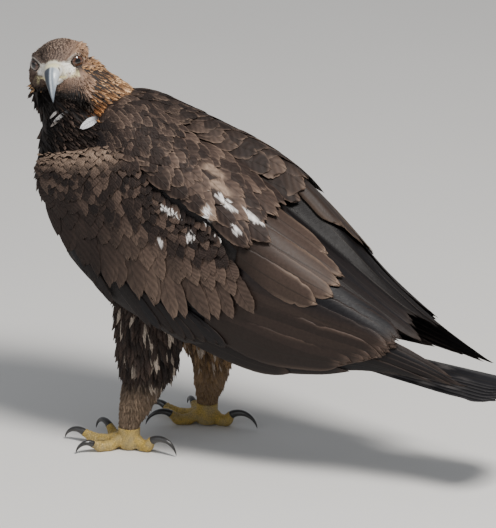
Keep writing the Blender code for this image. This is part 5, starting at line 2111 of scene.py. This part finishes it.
def eye_colours(local):
    """The colours of the ball, by the angle of its points from its axis."""
    angle = np.arccos(np.clip(local[:, 2], -1, 1))
    around = np.arctan2(local[:, 1], local[:, 0])
    spokes = 0.5 + 0.5 * np.sin(around * 31 + 3 * np.sin(around * 7))
    amber = mix(IRIS_DARK, IRIS_LIGHT, spokes * blend(PUPIL_EDGE, 0.62, angle))
    amber = mix(amber, IRIS_RIM, blend(0.60, IRIS_EDGE, angle) * 0.8)
    colours = mix(PUPIL, amber, blend(PUPIL_EDGE - 0.03, PUPIL_EDGE + 0.02, angle))
    return mix(colours, EYE_RIM, blend(IRIS_EDGE - 0.02, IRIS_EDGE + 0.05, angle))


def fit_piece(obj, shader, node):
    """Gives a piece its material and puts it in the place of the solid of the same part."""
    obj.data.materials.append(shader.material)
    obj.data.shade_smooth()
    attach(obj, "root")
    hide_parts(node)


def make_eye(side, label, rings=40, count=64):
    turn = Vector(eye_axis(side, GAZE_TURN)).to_track_quat("Z", "Y").to_matrix()
    angle = np.repeat(np.pi * np.arange(rings + 1) / rings, count)
    around = np.tile(2 * np.pi * np.arange(count) / count, rings + 1)
    wide = np.sin(angle)
    local = np.stack((wide * np.cos(around), wide * np.sin(around), np.cos(angle)), 1)
    ball = eye_middle(side) + EYE_RADIUS * local @ np.array(turn).T
    obj = add_mesh(f"eye_{label}_glass", ball, quads(belt(rings + 1, count))[:, (0, 3, 2, 1)])
    tint_mesh(obj.data, eye_colours(local))
    face_out(obj)
    fit_piece(obj, EYE, "eye_" + label)


EYE = Shader("eye", 0.06, {"Coat Weight": 1.0, "Coat Roughness": 0.02, "IOR": 1.38})
EYE.set("Base Color", EYE.attribute("tint", "Color"))
make_eye(LEFT, "left")
make_eye(RIGHT, "right")
print("the left eye looks along", eye_axis(LEFT, GAZE_TURN).round(2))

# %% [markdown]
# The bill is horn over bone. At its base the waxy cere is bare yellowish skin with the nostrils
# in it. Each half is a loft of rings between two curves, the same as the solid's.

# %% The form of the bill
# Forward and up in the head's frame, as Bezier curves. Widths by the share of the length
CULMEN = ((31.3, 8), (48, 8), (62, -6), (62, -38))
TOMIUM = ((31.3, -12), (44, -12), (53, -15), (60, -36))
LOWER_TOP = ((31.3, -12.5), (38, -12.5), (46, -14), (51, -17))
LOWER_KEEL = ((31.3, -22), (38, -22), (46, -20.5), (51, -17.6))
UPPER_WIDTHS = ((0, 13), (0.3, 10.5), (0.6, 7.5), (0.85, 3.5), (1, 0.7))
LOWER_WIDTHS = ((0, 11), (0.4, 9), (0.75, 6), (1, 1.5))
NOSTRIL = (38.6, 0.5)
CERE_END = 41.5


def bezier(points, t):
    a, b, c, d = np.array(points, float)
    t = np.asarray(t)[..., None]
    return a * (1 - t) ** 3 + b * 3 * t * (1 - t) ** 2 + c * 3 * t * t * (1 - t) + d * t**3


def bill_loft(name, upper, lower, widths, count=60, around=56):
    t = np.linspace(0, 1, count)
    high, low = bezier(upper, t), bezier(lower, t)
    turn = 2 * np.pi * (np.arange(around) + 0.5) / around
    rings = []
    for top, bottom, wide in zip(high, low, curve_rows(widths, t)[:, 0]):
        middle, half = (top + bottom) / 2, (top - bottom) / 2
        side, rise = np.cos(turn) * wide, np.sin(turn)
        forward, up = middle[0] + half[0] * rise, middle[1] + half[1] * rise
        rings.append(head_to_bird(np.stack((forward, side, up), 1)))
    return loft(name, rings)


def nostril(f, u):
    """A slanting oval in the cere, 1 in its middle."""
    return hump((f - NOSTRIL[0] + 0.35 * (u - NOSTRIL[1]), 0, 1.7), (u, NOSTRIL[1], 3.0))


def shape_bill(obj, upper):
    """Swells the cere a little, cuts the nostrils into it and gives the cutting edge a wave."""
    points = bird_to_head(vertices(obj))
    f, s, u = points.T
    swell = 0.7 * blend(31.3, 33, f) * blend(CERE_END + 0.6, CERE_END - 1.2, f + 0.08 * u)
    if upper:
        swell = swell - 3.5 * nostril(f, u) * (np.abs(s) > 4)
        points[:, 2] -= 0.6 * hump((f, 49, 4)) * blend(-8, -12, u)
    points[:, 1] += swell * np.sign(s) * np.clip(np.abs(s) / 8, 0, 1)
    set_vertices(obj, head_to_bird(points))


bill_upper = bill_loft("bill_upper_horn", CULMEN, TOMIUM, UPPER_WIDTHS)
bill_lower = bill_loft("bill_lower_horn", LOWER_TOP, LOWER_KEEL, LOWER_WIDTHS)
shape_bill(bill_upper, True)
shape_bill(bill_lower, False)
print("bill:", len(bill_upper.data.polygons), "and", len(bill_lower.data.polygons), "faces")

# %% [markdown]
# In the photo the bill's left side is lit pale blue-grey and its right side lies in dark slate
# shade, and both are painted into the horn, with a painted highlight along the ridge between
# them. The tip is blackish and the cere pale yellow.

# %% The colours of the bill
# Blue-grey horn, and the same horn painted pale as lit
HORN_AND_LIT_HORN = ((0.20, 0.235, 0.28), (0.50, 0.54, 0.57))
GRAIN = (0.17, 0.20, 0.24)
# Dark slate: painted shade on the bill's right side
SHADED_HORN = (0.030, 0.037, 0.048)
# A painted highlight along the ridge
RIDGE_HIGHLIGHT = (0.62, 0.67, 0.70)
TIP = (0.08, 0.09, 0.105)
UNDERSIDE = (0.13, 0.145, 0.165)
CERE = ((0.68, 0.66, 0.60), (0.72, 0.67, 0.42))
CERE_LOW = (0.26, 0.26, 0.25)
HOLE = (0.010, 0.008, 0.008)


def bill_colours(obj):
    f, s, u = bird_to_head(vertices(obj)).T
    grain = 0.5 + 0.5 * np.sin(s * 3.1 + 0.6 * np.sin(u * 0.35))
    lower = blend(-13.5, -15.5, u)
    # The left side is painted pale as lit, the right side dark slate as painted shade
    horn = mix(*HORN_AND_LIT_HORN, blend(1.5, 6.5, s) * blend(-30, -8, u))
    horn = mix(horn, GRAIN, 0.35 * grain * blend(6, 2, s))
    horn = mix(horn, SHADED_HORN, blend(0.2, -3.2, s) * 0.92)
    # A painted highlight runs along the ridge
    horn = mix(horn, RIDGE_HIGHLIGHT, hump((s, -0.2, 1.1)) * blend(-36, -16, u) * 0.8)
    horn = mix(horn, TIP, blend(-28, -38, u) * 0.8)
    horn = mix(horn, UNDERSIDE, lower * blend(44, 40, f) * 0.8)
    cere = mix(mix(*CERE, blend(1, 7, u)), CERE_LOW, lower)
    colours = mix(horn, cere, blend(CERE_END + 2.4, CERE_END - 1.2, f + 0.10 * u))
    return mix(colours, HOLE, blend(0.25, 0.5, nostril(f, u)) * (np.abs(s) > 4))


HORN = Shader("horn", 0.33, {"Coat Weight": 0.3, "Coat Roughness": 0.2})
streaks = HORN.noise(HORN.place(), 300.0, 5.0)
HORN.set("Base Color", HORN.scale(HORN.attribute("tint", "Color"), 0.78 + 0.44 * streaks))
HORN.set("Roughness", 0.24 + 0.22 * streaks)
HORN.bump(streaks, 0.0004)
for obj, node in ((bill_upper, "bill_upper"), (bill_lower, "bill_lower")):
    tint_mesh(obj.data, bill_colours(obj))
    fit_piece(obj, HORN, node)
print("horn from", SHADED_HORN, "to", RIDGE_HIGHLIGHT)

# %% [markdown]
# The toes are bare and yellow, with small scales and a few broad scutes near each claw. Each toe
# is one tube that bends down to the ground, where its claw begins.

# %% The plan of the feet
# The middle of each foot, then each toe's name, heading, length, thickness and claw
FEET = {LEFT: (65, -25), RIGHT: (-64, 31)}
TOES = (
    ("inner", -32, 50, 15, 44), ("middle", 4, 66, 15, 36), ("outer", 44, 52, 14, 31),
    ("hind", 176, 36, 16, 48),
)
CLAW_START = math.radians(35)
CLAW_END = math.radians(-80)
CLAW_BEND = CLAW_START - CLAW_END
SOLE = 0.0


def toe_out(side, heading):
    turn = math.radians(heading)
    return np.array((side * math.sin(turn), -math.cos(turn), 0.0))


def claw_way(out_way):
    """The direction in which a claw leaves its toe."""
    return out_way * math.cos(CLAW_START) + np.array((0, 0, math.sin(CLAW_START)))


def toe_rows(thick, claw):
    """Height and thickness along a toe. At its end the claw just reaches the ground."""
    radius = thick / 2
    fall = claw / CLAW_BEND * (math.cos(CLAW_START) - math.cos(CLAW_END))
    return (
        (0.0, 20, radius), (0.25, radius + 4, radius * 1.05), (0.5, radius - 0.8, radius),
        (0.75, radius - 0.8, radius * 0.95), (1.0, fall + 1.2, radius * 0.72),
    )


def tube_rings(line, sizes, count, start=None, end=None):
    """Rings round a bent line."""
    ways = [line[min(i + 1, len(line) - 1)] - line[max(i - 1, 0)] for i in range(len(line))]
    ways[0] = ways[0] if start is None else start
    ways[-1] = ways[-1] if end is None else end
    turn = 2 * np.pi * np.arange(count) / count
    rings = []
    for middle, size, way in zip(line, sizes, ways):
        way = way / np.linalg.norm(way)
        side = np.cross(way, (0, 0, 1))
        side = side / np.linalg.norm(side)
        up = np.cross(side, way)
        rings.append(middle + size * (np.outer(np.sin(turn), side) + np.outer(np.cos(turn), up)))
    return rings


def raise_line(heights):
    return np.stack((0 * heights, 0 * heights, heights), 1)


def above_ground(obj):
    """Flattens what would reach below the ground the bird stands on."""
    points = vertices(obj)
    points[:, 2] = np.maximum(points[:, 2], SOLE)
    set_vertices(obj, points)


print("a middle toe's rows:", np.round(toe_rows(15, 36), 1).tolist())

# %% [markdown]
# Scutes, joints and pads are one relief along the toe: scutes on top, folds of skin all round,
# pads below.

# %% The toes
SCUTE = 6.2
FOLDS = (0.36, 0.66, 0.93)
PADS = (0.5, 0.8)


def make_toe(side, toe, count=44):
    name, heading, length, thick, claw = toe
    t = np.linspace(0, 1, 90)
    z, size = curve_rows(toe_rows(thick, claw), t).T
    out_way = toe_out(side, heading)
    base = np.array((*FEET[side], 0.0))
    line = base + out_way * (4 + (length - 4) * t)[:, None] + raise_line(z)
    rings = np.array(tube_rings(line, size, count, end=claw_way(out_way)))
    turn = 2 * np.pi * np.arange(count) / count
    top = blend(-0.2, 0.5, np.cos(turn))[None, :]
    below = blend(0.3, 1.0, -np.cos(turn))[None, :]
    scutes = blend(1.0, 0.55, np.abs((t * length / SCUTE) % 1.0 - 0.35) * 2)
    tile = 0.65 * scutes[:, None] * top * blend(0.45, 0.55, t)[:, None]
    joints = sum(hump((t, at, 0.045)) for at in FOLDS)[:, None]
    pads = sum(hump((t, at, 0.11)) for at in PADS)[:, None] * below
    away = rings - line[:, None, :]
    away = away / np.linalg.norm(away, axis=2, keepdims=True)
    rings = rings + away * (tile - 0.45 * joints + 0.8 * pads)[..., None]
    return loft(name, list(rings))


TOE = Shader("toe skin", 0.5, {"Coat Weight": 0.08, "Coat Roughness": 0.35})
voronoi = {"Vector": TOE.place(), "Scale": 420.0}
cells = TOE.add("ShaderNodeTexVoronoi", {"feature": "DISTANCE_TO_EDGE"}, voronoi, "Distance")
seam = cells.between(0.0, 0.16)
dirt = TOE.noise(TOE.place(), 60.0, 4.0).between(0.35, 0.7)
tones = {"Factor": dirt, "A": (0.62, 0.42, 0.09, 1), "B": (0.50, 0.38, 0.17, 1)}
yellow = TOE.add("ShaderNodeMix", {"data_type": "RGBA"}, tones)
TOE.set("Base Color", TOE.scale(yellow, 0.55 + 0.45 * seam))
TOE.bump(seam, 0.0007)
print("toes:", [toe[0] for toe in TOES])

# %% [markdown]
# A short hub under the shank carries the toes. All are fused into one foot with a flat sole.

# %% The feet
FOOT_VOXEL = 0.7


def make_foot(side, label):
    x, y = FEET[side]
    rows = ((31, x, y, 14, 15.5), (18, x, y, 14, 15), (8, x, y, 15, 16), (1, x, y, 13, 14))
    places = np.linspace(29.8, 1, 16)
    hub = []
    for z, (px, py, wide, deep) in zip(places, curve_rows(rows, places)):
        hub.append(ring((px, py, z), (wide, 0, 0), (0, deep, 0), 40))
    parts = [loft("hub", hub)] + [make_toe(side, toe) for toe in TOES]
    foot = remeshed(joined("foot_" + label + "_scaled", parts), FOOT_VOXEL, 2)
    above_ground(foot)
    fit_piece(foot, TOE, "foot_" + label)
    print("foot:", len(foot.data.polygons), "faces")


make_foot(LEFT, "left")
make_foot(RIGHT, "right")

# %% [markdown]
# Each claw is a tapered horn bent along an arc from the toe's end to the ground, black and
# polished by use, with fine streaks along it.

# %% The claws
CLAW = Shader("claw", 0.28, {"Coat Weight": 0.35, "Coat Roughness": 0.15})
grain = CLAW.noise(CLAW.place(), 500.0, 4.0)
tones = {"Factor": grain, "A": (0.008, 0.008, 0.009, 1), "B": (0.045, 0.042, 0.04, 1)}
CLAW.set("Base Color", CLAW.add("ShaderNodeMix", {"data_type": "RGBA"}, tones))
CLAW.bump(grain, 0.0003)


def make_claw(side, label, toe):
    name, heading, length, thick, claw = toe
    z, size = curve_rows(toe_rows(thick, claw), np.array(1.0))
    out_way = toe_out(side, heading)
    root = np.array((*FEET[side], 0.0)) + out_way * length + np.array((0, 0, float(z)))
    radius = claw / CLAW_BEND
    start = claw_way(out_way)
    t = np.linspace(0, 0.995, 40)
    slope = CLAW_START - CLAW_BEND * t
    across = radius * (math.sin(CLAW_START) - np.sin(slope))
    rise = radius * (np.cos(slope) - math.cos(CLAW_START))
    line = root + 0.2 * start + out_way * across[:, None] + raise_line(rise)
    sizes = float(size) * 0.92 * (1 - t) ** 0.8 + 0.2
    obj = loft(f"claw_{label}_{name}_horn", tube_rings(line, sizes, 28, start=start))
    above_ground(obj)
    fit_piece(obj, CLAW, f"claw_{label}_{name}")


for side, label in ((LEFT, "left"), (RIGHT, "right")):
    for toe in TOES:
        make_claw(side, label, toe)
print("claws with arcs of", [toe[4] for toe in TOES], "mm")

# %% [markdown]
# The set is a plain pale floor, which only the pictures show. It isn't part of the bird.


# %% The floor
def make_floor():
    bpy.ops.mesh.primitive_plane_add(size=12)
    floor = bpy.context.object
    floor.name = "floor"
    floor.data.transform(Matrix.Translation((0, 0, -0.0005)))
    return floor


floor = make_floor()
ground = Shader("floor", 0.9)
speck = ground.noise(ground.place(), 3.0, 3.0)
tones = {"Factor": speck, "A": (0.70, 0.69, 0.67, 1), "B": (0.74, 0.73, 0.71, 1)}
ground.set("Base Color", ground.add("ShaderNodeMix", {"data_type": "RGBA"}, tones))
floor.data.materials.append(ground.material)
floor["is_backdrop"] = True
print("floor:", tuple(round(v, 2) for v in floor.dimensions), "m")

# %% [markdown]
# The camera stands 25 degrees behind the bird's beam and 20 above it, as fitted to the photo. The
# long lens keeps the view close to parallel, as from far off.

# %% The camera
AZIMUTH = math.radians(115)
ELEVATION = math.radians(20)
LENS = 600
SENSOR = 36
MIDDLE_DEPTH = 115
# Millimetres of a pixel of the photo, where the origin lies in it, and its size
PIXEL = 1.35
ORIGIN = (165.7, 436.1)
PHOTO = (496, 528)


def aim(obj, at, target):
    obj.location = at
    obj.rotation_euler = (Vector(target) - Vector(at)).to_track_quat("-Z", "Y").to_euler()


level = math.cos(ELEVATION)
back = np.array((math.sin(AZIMUTH) * level, -math.cos(AZIMUTH) * level, math.sin(ELEVATION)))
right = np.array((math.cos(AZIMUTH), math.sin(AZIMUTH), 0.0))
up = np.cross(back, right)
middle = right * (PHOTO[0] / 2 - ORIGIN[0]) * PIXEL + up * (ORIGIN[1] - PHOTO[1] / 2) * PIXEL
middle = middle + back * MIDDLE_DEPTH
target = to_row(middle)
eye_at = to_row(middle + back * LENS * (PHOTO[1] * PIXEL) / SENSOR)
camera_data = bpy.data.cameras.new("camera")
camera_data.lens = LENS
camera_data.sensor_width = SENSOR
camera_data.clip_end = 100
camera = bpy.data.objects.new("camera", camera_data)
bpy.context.scene.collection.objects.link(camera)
aim(camera, eye_at, target)
bpy.context.scene.camera = camera
print("camera at", np.array(eye_at).round(3), "looks at", np.array(target).round(3))

# %% [markdown]
# A studio's light: a large soft lamp from the upper left ahead of the bird, a weaker one from the
# other side, and a dim even sky.

# %% The lights
HEART = (0.0, 0.0, 0.3)


def area_light(name, away, power, size, colour):
    light = bpy.data.lights.new(name, "AREA")
    light.energy = power
    light.size = size
    light.color = colour
    obj = bpy.data.objects.new(name, light)
    bpy.context.scene.collection.objects.link(obj)
    aim(obj, Vector(HEART) + Vector(away), HEART)


key_away = back * 1.3 + right * 0.9 + np.array((0, 0, 2.3))
fill_away = back * 2.4 - right * 2.4 + np.array((0, 0, 0.8))
area_light("key", key_away, 150, 0.9, (1.0, 0.97, 0.93))
area_light("fill", fill_away, 22, 2.4, (0.94, 0.97, 1.0))
world = bpy.data.worlds.new("sky")
bpy.context.scene.world = world
world.use_nodes = True
sky = world.node_tree.nodes["Background"].inputs
sky["Color"].default_value = (0.92, 0.95, 1.0, 1)
sky["Strength"].default_value = 0.34
print("lights:", [light.name for light in bpy.data.lights])

# %% [markdown]
# Last, the two sizes are gathered: the box of the solids, taken before anything was added,
# and the box of all that is shown.

# %% Sizes and the end
shown_box = [list(corner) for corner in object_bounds()]
sizes = {"cad_box": [[float(v) for v in c] for c in cad_box], "visual_box": [[float(v) for v in c] for c in shown_box]}
print("shown:", np.array(shown_box).round(4).tolist())
